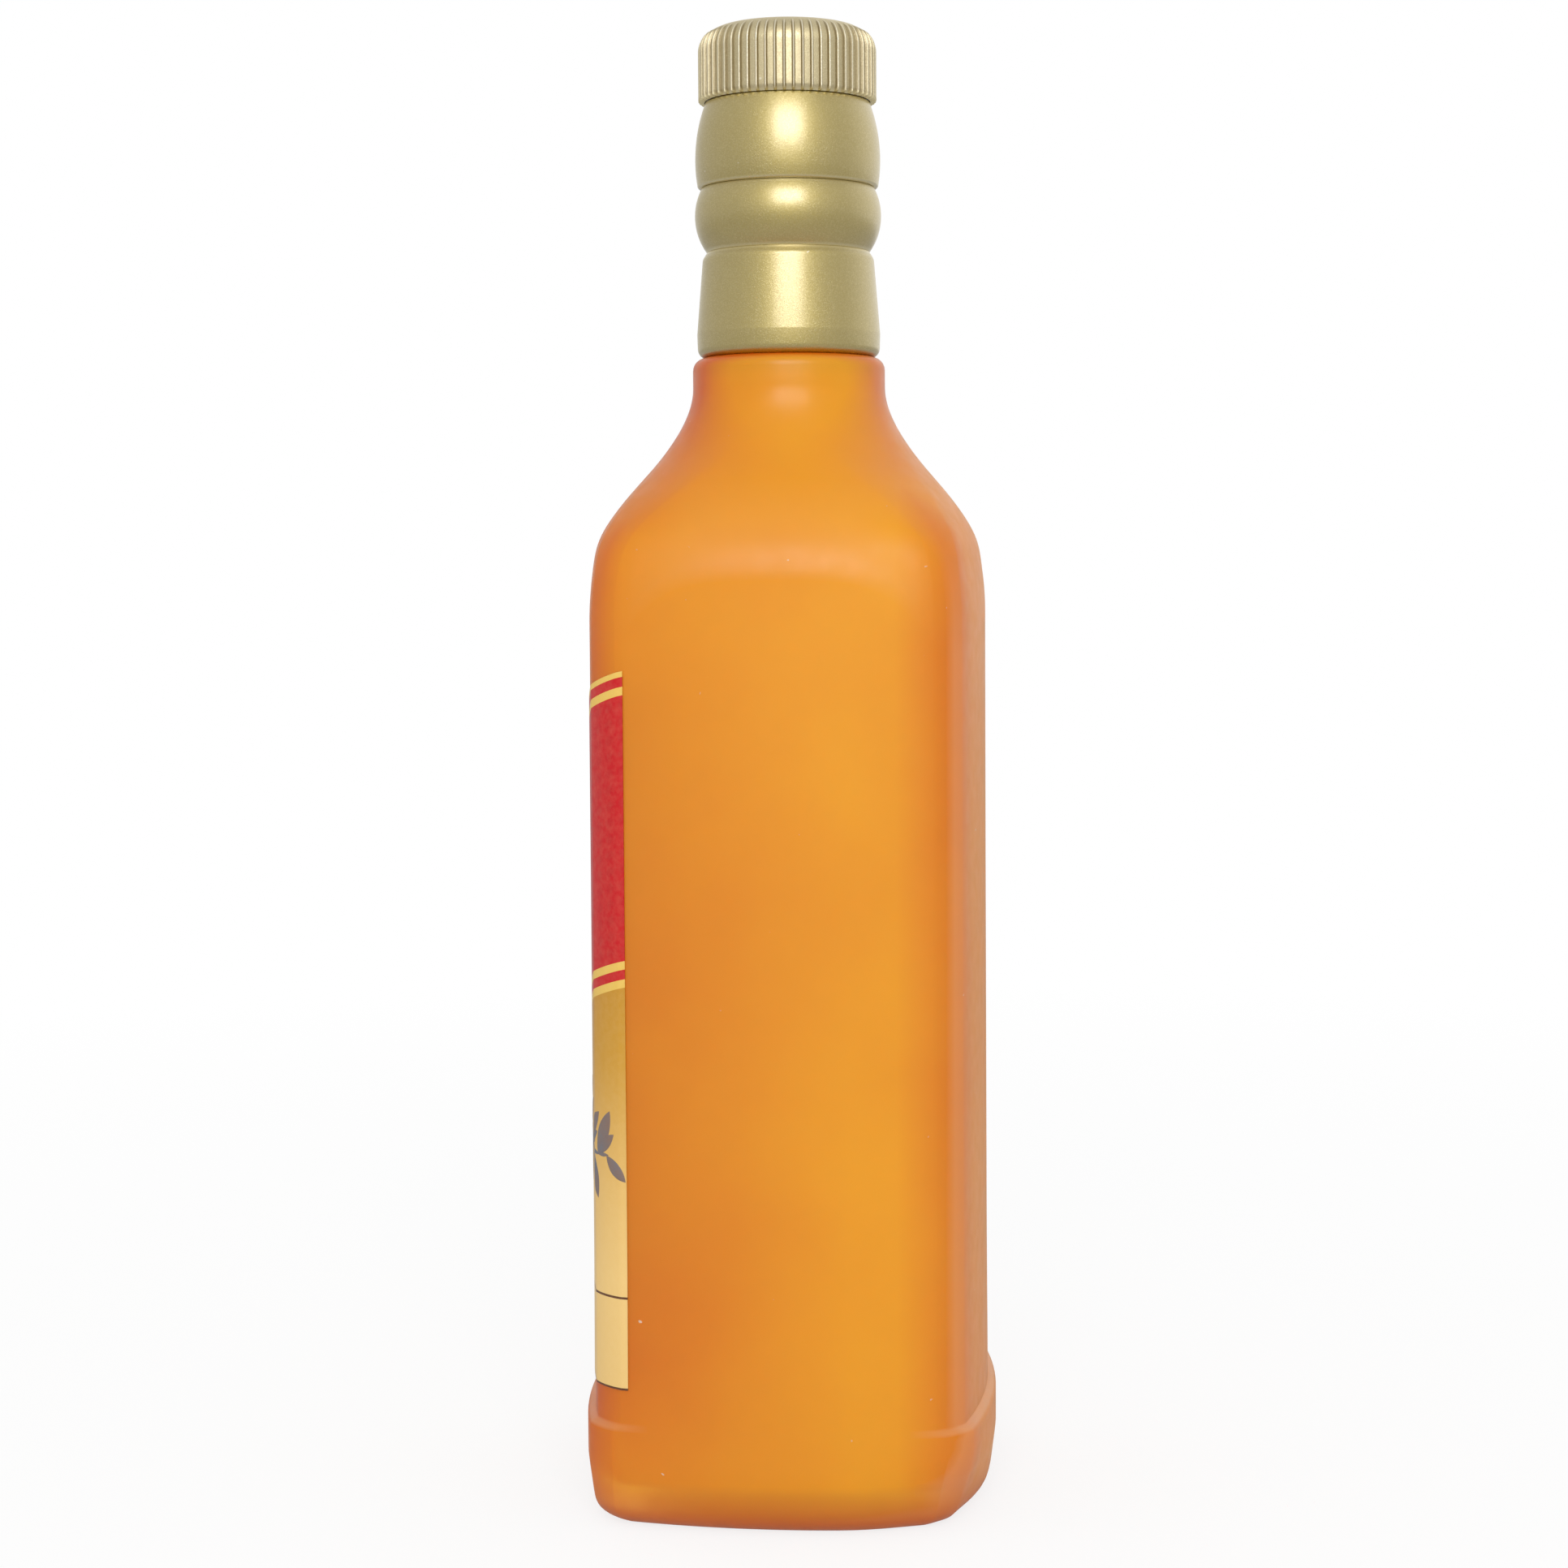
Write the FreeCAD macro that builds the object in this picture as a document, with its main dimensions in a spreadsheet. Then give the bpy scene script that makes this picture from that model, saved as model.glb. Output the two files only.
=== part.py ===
"""Square-shouldered frosted glass oil bottle with a stacked gold collar and a ribbed screw cap.

Millimetres, +Z up, label panel towards -Y, origin at the middle of the foot the bottle stands on.
"""
import FreeCAD, Part
import math
import os

import Sketcher

# Driving sizes, in millimetres unless the name says otherwise.
SIZES = {
    # glass body
    "side_half": 35.9,
    "panel_half": 34.5,
    "face_radius": 128.0,
    "corner_radius": 7.5,
    "body_height": 148.7,
    "shoulder_height": 44.8,
    "glass_wall": 3.2,
    "floor_wall": 4.0,
    "floor_round": 2.4,
    "punt_radius": 25.0,
    "punt_depth": 3.0,
    # boot, the swelling round the foot
    "boot_height": 18.5,
    "boot_waist": 10.3,
    "boot_proud": 1.5,
    "boot_side_proud": 0.2,
    "boot_taper": 1.35,
    "boot_round": 2.8,
    "heel_round": 4.65,
    # neck and mouth
    "mouth_bore": 9.25,
    "finish_wall": 2.95,
    "neck_wall": 3.95,
    "ledge_width": 3.55,
    "ledge_height": 5.3,
    "ledge_round": 1.3,
    "throat_wall": 4.5,
    "throat_height": 6.0,
    "lip_round": 0.7,
    # screw thread
    "thread_pitch": 3.0,
    "thread_depth": 0.8,
    "thread_root": 1.2,
    "thread_crest": 0.6,
    "thread_start": 1.4,
    "thread_turns": 1.75,
    "cap_thread_turns": 1.25,
    "thread_gap": 0.25,
    "thread_clear": 0.35,
    "thread_sink": 0.3,
    # gold collar, three rings on the neck
    "collar_fit": 0.1,
    "skirt_height": 18.15,
    "skirt_foot_wall": 2.95,
    "skirt_foot_round": 1.4,
    "skirt_top_wall": 1.95,
    "skirt_top_round": 1.15,
    "ring_height": 11.05,
    "ring_foot_wall": 0.8,
    "ring_belly_wall": 3.02,
    "ring_top_wall": 1.65,
    "barrel_height": 14.6,
    "barrel_foot_wall": 2.4,
    "barrel_belly_wall": 2.85,
    "barrel_belly_height": 5.5,
    "barrel_top_wall": 1.2,
    # cap
    "cap_gap": 0.35,
    "cap_height": 12.4,
    "cap_top": 1.0,
    "shell_wall": 0.65,
    "crown_round": 3.8,
    "rim_height": 1.9,
    "rim_draw": 0.3,
    "rib_count": 60,
    "rib_depth": 0.3,
    "rib_width": 0.55,
    "rib_sink": 0.2,
    "rib_end": 2.0,
    "insert_wall": 1.15,
    "insert_top": 1.0,
    "insert_fit": 0.05,
    "insert_setback": 0.4,
    "insert_round": 2.0,
    "liner_thickness": 1.2,
    "liner_play": 0.4,
    # pour insert in the mouth
    "pour_flange": 1.0,
    "pour_flange_setback": 0.5,
    "pour_fit": 0.05,
    "pour_wall": 1.2,
    "pour_length": 11.0,
    "pour_orifice": 3.6,
    "pour_funnel": 3.5,
    "pour_web": 1.4,
    "vent_radius": 0.9,
    # front label
    "label_thickness": 0.15,
    "label_glue": 0.05,
    "label_bottom": 24.4,
    "label_height": 108.2,
    "label_setback": 9.2,
    "label_dish_setoff": 10.5,
    "label_dish_rise": 12.0,
}

EIGHTH = math.pi / 4.0
# The shoulder's S: how late it turns in, how steep it is, and how soon its sections become round.
SHOULDER_STEPS = 8
SHOULDER_LAG = 1.66
SHOULDER_STEEPNESS = 0.3
ROUNDING_POWER = 2.5
# Corner share at which a nearly round section is parted into eight equal arcs.
ROUND_SHARE = 1.0 / (math.sqrt(2.0) * math.sin(EIGHTH / 2.0)) - 1.0
V = FreeCAD.Vector


class Size:
    """A length together with the sheet formula that gives it."""

    def __init__(self, value, formula):
        self.value = value
        self.formula = formula

    def __add__(self, other):
        return Size(self.value + other.value, f"({self.formula} + {other.formula})")

    def __sub__(self, other):
        return Size(self.value - other.value, f"({self.formula} - {other.formula})")

    def __mul__(self, factor):
        return Size(self.value * factor, f"({self.formula} * {factor:.9f})")

    def towards(self, other, share):
        """The length that lies the given share of the way to another one."""
        return self + (other - self) * share


ZERO = Size(0.0, "0")


def size(name):
    """A driving size by its name."""
    return Size(float(SIZES[name]), f"Sheet.{name}")


doc = FreeCAD.newDocument("oil_bottle")
sheet = doc.addObject("Spreadsheet::Sheet", "Sheet")
for row, (alias, number) in enumerate(SIZES.items(), 1):
    sheet.set(f"A{row}", alias)
    sheet.set(f"B{row}", str(number))
    sheet.setAlias(f"B{row}", alias)
doc.recompute()

# Radii of the neck, worked out from the mouth bore outwards.
bore_radius = size("mouth_bore")
finish_radius = bore_radius + size("finish_wall")
core_radius = bore_radius + size("neck_wall")
neck_radius = core_radius + size("ledge_width")
throat_radius = neck_radius - size("throat_wall")
crest_radius = finish_radius + size("thread_depth")
insert_bore = crest_radius + size("thread_clear")
insert_radius = insert_bore + size("insert_wall")
shell_bore = insert_radius + size("insert_fit")
cap_radius = shell_bore + size("shell_wall")
collar_bore = core_radius + size("collar_fit")

# Heights, stacked from the foot to the crown of the cap.
neck_z = size("body_height") + size("shoulder_height")
ledge_z = neck_z + size("ledge_height")
ring_z = ledge_z + size("skirt_height")
barrel_z = ring_z + size("ring_height")
collar_top_z = barrel_z + size("barrel_height")
cap_z = collar_top_z + size("cap_gap")
crown_z = cap_z + size("cap_height")
insert_top_z = crown_z - size("cap_top")
liner_top_z = insert_top_z - size("insert_top")
flange_top_z = liner_top_z - size("liner_thickness")
lip_z = flange_top_z - size("pour_flange")
thread_z = collar_top_z + size("thread_start")


def new_body(label):
    """An empty body for one piece."""
    body = doc.addObject("PartDesign::Body", label)
    body.Label = label
    return body


def bind(item, name, length):
    """Tie a property of an object to a sheet formula."""
    item.setExpression(name, length.formula)


def new_sketch(body, name, plane, height=ZERO):
    """A sketch on one of the body's own origin planes, raised by a height."""
    sketch = body.newObject("Sketcher::SketchObject", name)
    support = [item for item in body.Origin.OriginFeatures if item.Role == plane][0]
    sketch.AttachmentSupport = (support, [""])
    sketch.MapMode = "FlatFace"
    bind(sketch, "AttachmentOffset.Base.z", height)
    return sketch


def dimension(sketch, kind, where, length):
    """Add a dimension whose value follows a sheet formula."""
    index = sketch.addConstraint(Sketcher.Constraint(kind, *where, length.value))
    name = f"size_{index}"
    sketch.renameConstraint(index, name)
    bind(sketch, f"Constraints.{name}", length)


def pin(sketch, item, end, across, up):
    """Hold a point at a place measured from the sketch's origin."""
    for kind, axis, length in (("DistanceX", -2, across), ("DistanceY", -1, up)):
        if length is ZERO:
            sketch.addConstraint(Sketcher.Constraint("PointOnObject", item, end, axis))
        elif length.value > 0.0:
            dimension(sketch, kind, (-1, 1, item, end), length)
        else:
            dimension(sketch, kind, (item, end, -1, 1), length * -1.0)


def outline(sketch, start, *runs):
    """A closed outline: each run is a straight run's end, or an arc's middle and end."""
    here = start
    ends = []
    for run in runs + (start,):
        there = run[-2:]
        begin = V(here[0].value, here[1].value)
        finish = V(there[0].value, there[1].value)
        if len(run) == 2:
            item = sketch.addGeometry(Part.LineSegment(begin, finish))
            ends.append((item, 1, 2, there))
        else:
            middle = V(run[0].value, run[1].value)
            turns_left = (middle - begin).cross(finish - middle).z > 0.0
            first, last = (begin, finish) if turns_left else (finish, begin)
            item = sketch.addGeometry(Part.Arc(first, middle, last))
            mark = sketch.addGeometry(Part.Point(middle), True)
            sketch.addConstraint(Sketcher.Constraint("PointOnObject", mark, 1, item))
            pin(sketch, mark, 1, run[0], run[1])
            ends.append((item, 1, 2, there) if turns_left else (item, 2, 1, there))
        here = there
    for (item, _, end, place), (following, begin, _, _) in zip(ends, ends[1:] + ends[:1]):
        sketch.addConstraint(Sketcher.Constraint("Coincident", item, end, following, begin))
        pin(sketch, item, end, *place)


def quarter_round(centre_across, centre_up, radius):
    """The middle of an outward quarter arc about a centre."""
    reach = radius * math.cos(EIGHTH)
    return centre_across + reach, centre_up + reach


def corner_centre(half_x, half_y, face, corner):
    """Centre of the corner arc that is tangent to both bulged faces."""
    across, up = half_x - face, half_y - face
    gap = math.hypot(across, up)
    reach = math.sqrt((face - corner) ** 2 - gap**2 / 4.0)
    return across / 2.0 - up / gap * reach, up / 2.0 - across / gap * reach


def arc_about(across, up, radius, begin, finish):
    """An arc from one angle to another."""
    return Part.ArcOfCircle(Part.Circle(V(across, up), V(0, 0, 1), radius), begin, finish)


def bulged_square(body, name, height, half_x, half_y, face, corner):
    """A square section with bulged sides and rounded corners, all runs tangent."""
    sketch = new_sketch(body, name, "XY_Plane", height)
    across, up = half_x.value - face.value, half_y.value - face.value
    mid_x, mid_y = corner_centre(half_x.value, half_y.value, face.value, corner.value)
    low = math.atan2(mid_y, mid_x - across)
    high = math.atan2(mid_y - up, mid_x)
    half_turn = math.pi
    arcs = (
        (across, 0.0, face, -low, low),
        (mid_x, mid_y, corner, low, high),
        (0.0, up, face, high, half_turn - high),
        (-mid_x, mid_y, corner, half_turn - high, half_turn - low),
        (-across, 0.0, face, half_turn - low, half_turn + low),
        (-mid_x, -mid_y, corner, half_turn + low, half_turn + high),
        (0.0, -up, face, half_turn + high, 2.0 * half_turn - high),
        (mid_x, -mid_y, corner, 2.0 * half_turn - high, 2.0 * half_turn - low),
    )
    for centre_x, centre_y, radius, begin, finish in arcs:
        sketch.addGeometry(arc_about(centre_x, centre_y, radius.value, begin, finish))
    for item in range(len(arcs)):
        following = (item + 1) % len(arcs)
        sketch.addConstraint(Sketcher.Constraint("Tangent", item, 2, following, 1))
    for item, axis in ((0, -1), (4, -1), (2, -2), (6, -2)):
        sketch.addConstraint(Sketcher.Constraint("PointOnObject", item, 3, axis))
    for item, twin in ((0, 2), (0, 4), (0, 6), (1, 3), (1, 5), (1, 7)):
        sketch.addConstraint(Sketcher.Constraint("Equal", item, twin))
    dimension(sketch, "Radius", (0,), face)
    dimension(sketch, "Radius", (1,), corner)
    dimension(sketch, "DistanceX", (0, 3, -1, 1), face - half_x)
    dimension(sketch, "DistanceX", (-1, 1, 4, 3), face - half_x)
    dimension(sketch, "DistanceY", (2, 3, -1, 1), face - half_y)
    dimension(sketch, "DistanceY", (-1, 1, 6, 3), face - half_y)
    return sketch


def ring_section(body, name, height, radius):
    """A round section in eight arcs, to match the eight runs of a bulged square."""
    sketch = new_sketch(body, name, "XY_Plane", height)
    start = -EIGHTH / 2.0
    for item in range(8):
        begin = start + item * EIGHTH
        sketch.addGeometry(arc_about(0.0, 0.0, radius.value, begin, begin + EIGHTH))
    dimension(sketch, "Radius", (0,), radius)
    for item in range(8):
        following = (item + 1) % 8
        sketch.addConstraint(Sketcher.Constraint("Coincident", item, 2, following, 1))
        if following:
            sketch.addConstraint(Sketcher.Constraint("Equal", 0, following))
        angle = start + item * EIGHTH
        pin(sketch, item, 1, radius * math.cos(angle), radius * math.sin(angle))
    return sketch


def loft(body, name, sections, kind="PartDesign::AdditiveLoft", ruled=False):
    """A loft through sections, smooth or in straight runs."""
    feature = body.newObject(kind, name)
    feature.Profile = sections[0]
    feature.Sections = sections[1:]
    feature.Ruled = ruled
    doc.recompute()
    return feature


def extrude(body, name, sketch, length, kind="PartDesign::Pad", reverse=False, middle=False):
    """A pad or pocket from a sketch."""
    feature = body.newObject(kind, name)
    feature.Profile = sketch
    bind(feature, "Length", length)
    feature.Reversed = reverse
    feature.Midplane = middle
    doc.recompute()
    return feature


def revolve(body, name, sketch, kind="PartDesign::Revolution"):
    """A full turn of a sketch about its upright axis."""
    feature = body.newObject(kind, name)
    feature.Profile = sketch
    feature.ReferenceAxis = (sketch, ["V_Axis"])
    feature.Angle = 360.0
    doc.recompute()
    return feature


def level_face(shape, height):
    """Name of the flat face at a height."""
    for number, face in enumerate(shape.Faces, 1):
        box = face.BoundBox
        if abs(box.ZMin - height) < 1e-4 and abs(box.ZMax - height) < 1e-4:
            return f"Face{number}"
    raise RuntimeError(f"no flat face at height {height}")


def round_face(body, name, base, height, radius):
    """Round every edge of the flat face at a height."""
    feature = body.newObject("PartDesign::Fillet", name)
    feature.Base = (base, [level_face(base.Shape, height.value)])
    bind(feature, "Radius", radius)
    doc.recompute()
    return feature


def thread(body, name, height, foot, tip, turns):
    """A right-hand screw ridge from a foot radius to a tip radius."""
    root_half = size("thread_root") * 0.5
    crest_half = size("thread_crest") * 0.5
    sketch = new_sketch(body, f"{name}_profile", "XZ_Plane")
    outline(
        sketch,
        (foot, height - root_half),
        (tip, height - crest_half),
        (tip, height + crest_half),
        (foot, height + root_half),
    )
    feature = body.newObject("PartDesign::AdditiveHelix", name)
    feature.Profile = sketch
    feature.ReferenceAxis = (sketch, ["V_Axis"])
    feature.Mode = "pitch-turns-angle"
    bind(feature, "Pitch", size("thread_pitch"))
    bind(feature, "Turns", size(turns))
    doc.recompute()
    return feature


def shoulder_sections(body, name, side, panel, face, corner, round_end):
    """Sections that turn from the square body into the round neck along a smooth S."""
    mean, skew = side.towards(panel, 0.5), (side - panel) * 0.5
    sections = []
    for step in range(SHOULDER_STEPS):
        rise = step / SHOULDER_STEPS
        turn = rise**SHOULDER_LAG
        steeper = SHOULDER_STEEPNESS * 3.0 * turn**2 * (1.0 - turn) ** 2 * (2.0 * turn - 1.0)
        square = 1.0 - turn**2 * (3.0 - 2.0 * turn) - steeper
        bulge = square**ROUNDING_POWER
        half = round_end.towards(mean, square)
        drawn_in = (mean - corner) * (bulge * square)
        drawn_in += (face - mean) * (bulge * (1.0 - square) * ROUND_SHARE)
        sections.append(
            bulged_square(
                body,
                f"{name}_{step}",
                size("body_height") + size("shoulder_height") * rise,
                half + skew * bulge,
                half - skew * bulge,
                half + (face - mean) * bulge,
                half - drawn_in,
            )
        )
    sections.append(ring_section(body, f"{name}_ring", neck_z, round_end))
    return sections


def glass_boot(body):
    """The swelling round the foot, drawn in towards a rounded heel, with a rounded top."""
    side = size("side_half") + size("boot_side_proud")
    panel = size("panel_half") + size("boot_proud")
    face, corner = size("face_radius"), size("corner_radius")
    taper, waist = size("boot_taper"), size("boot_waist")
    foot = bulged_square(
        body, "boot_foot", ZERO, side - taper, panel - taper, face - taper, corner - taper
    )
    middle = bulged_square(body, "boot_middle", waist, side, panel, face, corner)
    loft(body, "boot_flare", [foot, middle], ruled=True)
    upper = bulged_square(body, "boot_upper", waist, side, panel, face, corner)
    boot = extrude(body, "boot", upper, size("boot_height") - waist)
    rounded = round_face(body, "boot_rounding", boot, size("boot_height"), size("boot_round"))
    return round_face(body, "heel_rounding", rounded, ZERO, size("heel_round"))


def glass_neck(body):
    """Neck, the ledge that carries the collar, and the finish that takes the cap."""
    top_round, lip = size("ledge_round"), size("lip_round")
    sketch = new_sketch(body, "neck_profile", "XZ_Plane")
    outline(
        sketch,
        (ZERO, neck_z),
        (neck_radius, neck_z),
        (neck_radius, ledge_z - top_round),
        (*quarter_round(neck_radius - top_round, ledge_z - top_round, top_round),
         neck_radius - top_round, ledge_z),
        (core_radius, ledge_z),
        (core_radius, collar_top_z),
        (finish_radius, collar_top_z),
        (finish_radius, lip_z - lip),
        (*quarter_round(finish_radius - lip, lip_z - lip, lip), finish_radius - lip, lip_z),
        (ZERO, lip_z),
    )
    return revolve(body, "neck", sketch)


def glass_hollow(body):
    """Inside of the body and shoulder, the throat, the mouth bore and the punt."""
    wall = size("glass_wall")
    side, panel = size("side_half") - wall, size("panel_half") - wall
    face, corner = size("face_radius") - wall, size("corner_radius") - wall
    floor_z = size("punt_depth") + size("floor_wall")
    foot = bulged_square(body, "hollow_section", floor_z, side, panel, face, corner)
    depth = size("body_height") - floor_z
    hollow = extrude(body, "hollow", foot, depth, "PartDesign::Pocket", reverse=True)
    round_face(body, "floor_rounding", hollow, floor_z, size("floor_round"))
    sections = shoulder_sections(body, "hollow_shoulder", side, panel, face, corner, throat_radius)
    loft(body, "shoulder_hollow", sections, "PartDesign::SubtractiveLoft")
    bore = new_sketch(body, "bore_profile", "XZ_Plane")
    outline(
        bore,
        (ZERO, neck_z),
        (throat_radius, neck_z),
        (bore_radius, neck_z + size("throat_height")),
        (bore_radius, lip_z),
        (ZERO, lip_z),
    )
    revolve(body, "mouth", bore, "PartDesign::Groove")
    punt = new_sketch(body, "punt_profile", "XZ_Plane")
    outline(
        punt,
        (ZERO, ZERO),
        (size("punt_radius"), ZERO),
        (size("punt_radius") * 0.5, size("punt_depth") * 0.75, ZERO, size("punt_depth")),
    )
    revolve(body, "punt", punt, "PartDesign::Groove")


def bottle_shell():
    """The glass bottle in one piece."""
    body = new_body("bottle_shell")
    side, panel = size("side_half"), size("panel_half")
    face, corner = size("face_radius"), size("corner_radius")
    glass_boot(body)
    section = bulged_square(body, "body_section", size("boot_waist"), side, panel, face, corner)
    extrude(body, "straight_body", section, size("body_height") - size("boot_waist"))
    loft(body, "shoulder", shoulder_sections(body, "shoulder", side, panel, face, corner, neck_radius))
    glass_neck(body)
    foot = finish_radius - size("thread_sink")
    thread(body, "finish_thread", thread_z, foot, crest_radius, "thread_turns")
    glass_hollow(body)
    return body


def front_label():
    """Paper label over the front panel and round both front corners, with a dished top edge."""
    body = new_body("front_label")
    inner, outer = size("label_glue"), size("label_glue") + size("label_thickness")
    apex = size("label_bottom") + size("label_height")
    side, rise = size("side_half"), size("label_dish_rise")
    reach = side + size("panel_half")
    skins = []
    for name, skin in (("outside", outer), ("inside", inner)):
        skins.append(
            bulged_square(
                body,
                f"label_{name}",
                size("label_bottom"),
                side + skin,
                size("panel_half") + skin,
                size("face_radius") + skin,
                size("corner_radius") + skin,
            )
        )
    full = size("label_height") + rise * 2.0
    extrude(body, "label_sheet", skins[0], full)
    extrude(body, "label_back", skins[1], full, "PartDesign::Pocket", reverse=True)
    edge = size("label_setback") - size("panel_half")
    behind = new_sketch(body, "label_trim", "XY_Plane", size("label_bottom"))
    outline(behind, (reach * -1.0, edge), (reach, edge), (reach, reach), (reach * -1.0, reach))
    extrude(body, "label_edges", behind, full, "PartDesign::Pocket", reverse=True)
    axis = size("panel_half") + size("label_dish_setoff")
    above = new_sketch(body, "label_dish", "XZ_Plane", axis)
    outline(above, (ZERO, apex), (side * 2.0, apex + rise * 2.0), (ZERO, apex + rise * 2.0))
    revolve(body, "label_top", above, "PartDesign::Groove")
    return body


def collar_skirt():
    """Lowest collar ring: a slightly flared skirt that seats on the glass ledge."""
    body = new_body("collar_skirt")
    foot, top = collar_bore + size("skirt_foot_wall"), collar_bore + size("skirt_top_wall")
    foot_round, top_round = size("skirt_foot_round"), size("skirt_top_round")
    half = math.cos(EIGHTH)
    sketch = new_sketch(body, "skirt_profile", "XZ_Plane")
    outline(
        sketch,
        (collar_bore, ledge_z),
        (foot - foot_round, ledge_z),
        (foot - foot_round + foot_round * half, ledge_z + foot_round - foot_round * half,
         foot, ledge_z + foot_round),
        (top, ring_z - top_round),
        (*quarter_round(top - top_round, ring_z - top_round, top_round), top - top_round, ring_z),
        (collar_bore, ring_z),
    )
    revolve(body, "skirt", sketch)
    return body


def swelling_ring(label, foot_z, top_z, foot_wall, belly_wall, top_wall, belly_z):
    """A collar ring whose outside is one bulging arc."""
    body = new_body(label)
    sketch = new_sketch(body, f"{label}_profile", "XZ_Plane")
    outline(
        sketch,
        (collar_bore, foot_z),
        (collar_bore + size(foot_wall), foot_z),
        (collar_bore + size(belly_wall), belly_z, collar_bore + size(top_wall), top_z),
        (collar_bore, top_z),
    )
    revolve(body, label, sketch)
    return body


def cap_shell():
    """Gold outer shell of the cap, with narrow grip ribs."""
    body = new_body("cap_shell")
    crown, rim, draw = size("crown_round"), size("rim_height"), size("rim_draw")
    inner = size("insert_round")
    sketch = new_sketch(body, "shell_profile", "XZ_Plane")
    outline(
        sketch,
        (ZERO, crown_z),
        (ZERO, insert_top_z),
        (shell_bore - inner, insert_top_z),
        (*quarter_round(shell_bore - inner, insert_top_z - inner, inner),
         shell_bore, insert_top_z - inner),
        (shell_bore, cap_z),
        (cap_radius - draw, cap_z),
        (cap_radius, cap_z + rim),
        (cap_radius, crown_z - crown),
        (*quarter_round(cap_radius - crown, crown_z - crown, crown), cap_radius - crown, crown_z),
    )
    revolve(body, "shell", sketch)
    foot, tip = cap_radius - draw - size("rib_sink"), cap_radius + size("rib_depth")
    rib_top = crown_z - size("rib_end")
    rib = new_sketch(body, "rib_profile", "XZ_Plane")
    outline(
        rib,
        (foot, cap_z),
        (tip, cap_z),
        (tip, rib_top - size("rib_end")),
        (foot, rib_top),
    )
    first = extrude(body, "rib", rib, size("rib_width"), middle=True)
    ribs = body.newObject("PartDesign::PolarPattern", "ribs")
    ribs.Originals = [first]
    ribs.Axis = (sketch, ["V_Axis"])
    ribs.Angle = 360.0
    bind(ribs, "Occurrences", size("rib_count"))
    body.Tip = ribs
    doc.recompute()
    return body


def cap_insert():
    """Threaded plastic insert inside the cap shell."""
    body = new_body("cap_insert")
    outer = size("insert_round")
    sketch = new_sketch(body, "insert_profile", "XZ_Plane")
    outline(
        sketch,
        (ZERO, insert_top_z),
        (ZERO, liner_top_z),
        (insert_bore, liner_top_z),
        (insert_bore, cap_z + size("insert_setback")),
        (insert_radius, cap_z + size("insert_setback")),
        (insert_radius, insert_top_z - outer),
        (*quarter_round(insert_radius - outer, insert_top_z - outer, outer),
         insert_radius - outer, insert_top_z),
    )
    revolve(body, "insert", sketch)
    flank = (size("thread_root") + size("thread_crest")) * 0.5
    height = thread_z - flank - size("thread_gap") + size("thread_pitch")
    foot, tip = insert_bore + size("thread_sink"), insert_bore - size("thread_depth")
    thread(body, "cap_thread", height, foot, tip, "cap_thread_turns")
    return body


def cap_liner():
    """Soft sealing disc under the top of the cap."""
    disc = doc.addObject("Part::Cylinder", "cap_liner")
    disc.Label = "cap_liner"
    bind(disc, "Radius", insert_bore - size("liner_play"))
    bind(disc, "Height", size("liner_thickness"))
    bind(disc, "Placement.Base.z", flange_top_z)
    return disc


def pour_insert():
    """Pourer pressed into the mouth: flange, funnel, orifice and plug."""
    body = new_body("pour_insert")
    plug = bore_radius - size("pour_fit")
    inside = plug - size("pour_wall")
    orifice = size("pour_orifice")
    throat = flange_top_z - size("pour_funnel")
    sketch = new_sketch(body, "pour_profile", "XZ_Plane")
    outline(
        sketch,
        (orifice, throat),
        (inside, flange_top_z),
        (finish_radius - size("pour_flange_setback"), flange_top_z),
        (finish_radius - size("pour_flange_setback"), lip_z),
        (plug, lip_z),
        (plug, lip_z - size("pour_length")),
        (inside, lip_z - size("pour_length")),
        (inside, flange_top_z - size("pour_web")),
        (orifice, throat - size("pour_web")),
    )
    revolve(body, "pourer", sketch)
    vent = new_sketch(body, "vent_hole", "XY_Plane", lip_z - size("pour_length"))
    vent.addGeometry(Part.Circle(V(0, 0), V(0, 0, 1), size("vent_radius").value))
    dimension(vent, "Radius", (0,), size("vent_radius"))
    pin(vent, 0, 3, orifice.towards(inside, 0.5), ZERO)
    length = size("pour_length") + size("pour_flange")
    extrude(body, "vent", vent, length, "PartDesign::Pocket", reverse=True)
    return body


pieces = [
    bottle_shell(),
    front_label(),
    collar_skirt(),
    swelling_ring(
        "collar_ring", ring_z, barrel_z, "ring_foot_wall", "ring_belly_wall", "ring_top_wall",
        ring_z + size("ring_height") * 0.5,
    ),
    swelling_ring(
        "collar_barrel", barrel_z, collar_top_z, "barrel_foot_wall", "barrel_belly_wall",
        "barrel_top_wall", barrel_z + size("barrel_belly_height"),
    ),
    pour_insert(),
    cap_liner(),
    cap_insert(),
    cap_shell(),
]
doc.recompute()

for item in doc.Objects:
    if "Invalid" in item.State or "Error" in item.State:
        raise RuntimeError(f"{item.Label} failed: {item.State}")
for piece in pieces:
    if piece.Shape.isNull() or not piece.Shape.isValid() or len(piece.Shape.Solids) != 1:
        raise RuntimeError(f"{piece.Label} is not one valid solid")

os.makedirs("parts", exist_ok=True)
for piece in pieces:
    piece.Shape.exportStep(os.path.join("parts", f"{piece.Label}.step"))
    print(f"{piece.Label}: {piece.Shape.Volume / 1000.0:.2f} cm3")
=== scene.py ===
"""Looks of a square frosted amber oil bottle with a gold collar and a ribbed screw cap.

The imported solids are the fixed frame: metres, +Z up, the label towards -Y, the origin under the foot.
Sizes in the classes are millimetres; meshes are scaled to metres when they are made.
"""
import logging
import math
from dataclasses import astuple, dataclass
from enum import Enum

import bmesh
import bpy
import numpy as np
from mathutils import Matrix, Vector


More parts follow.
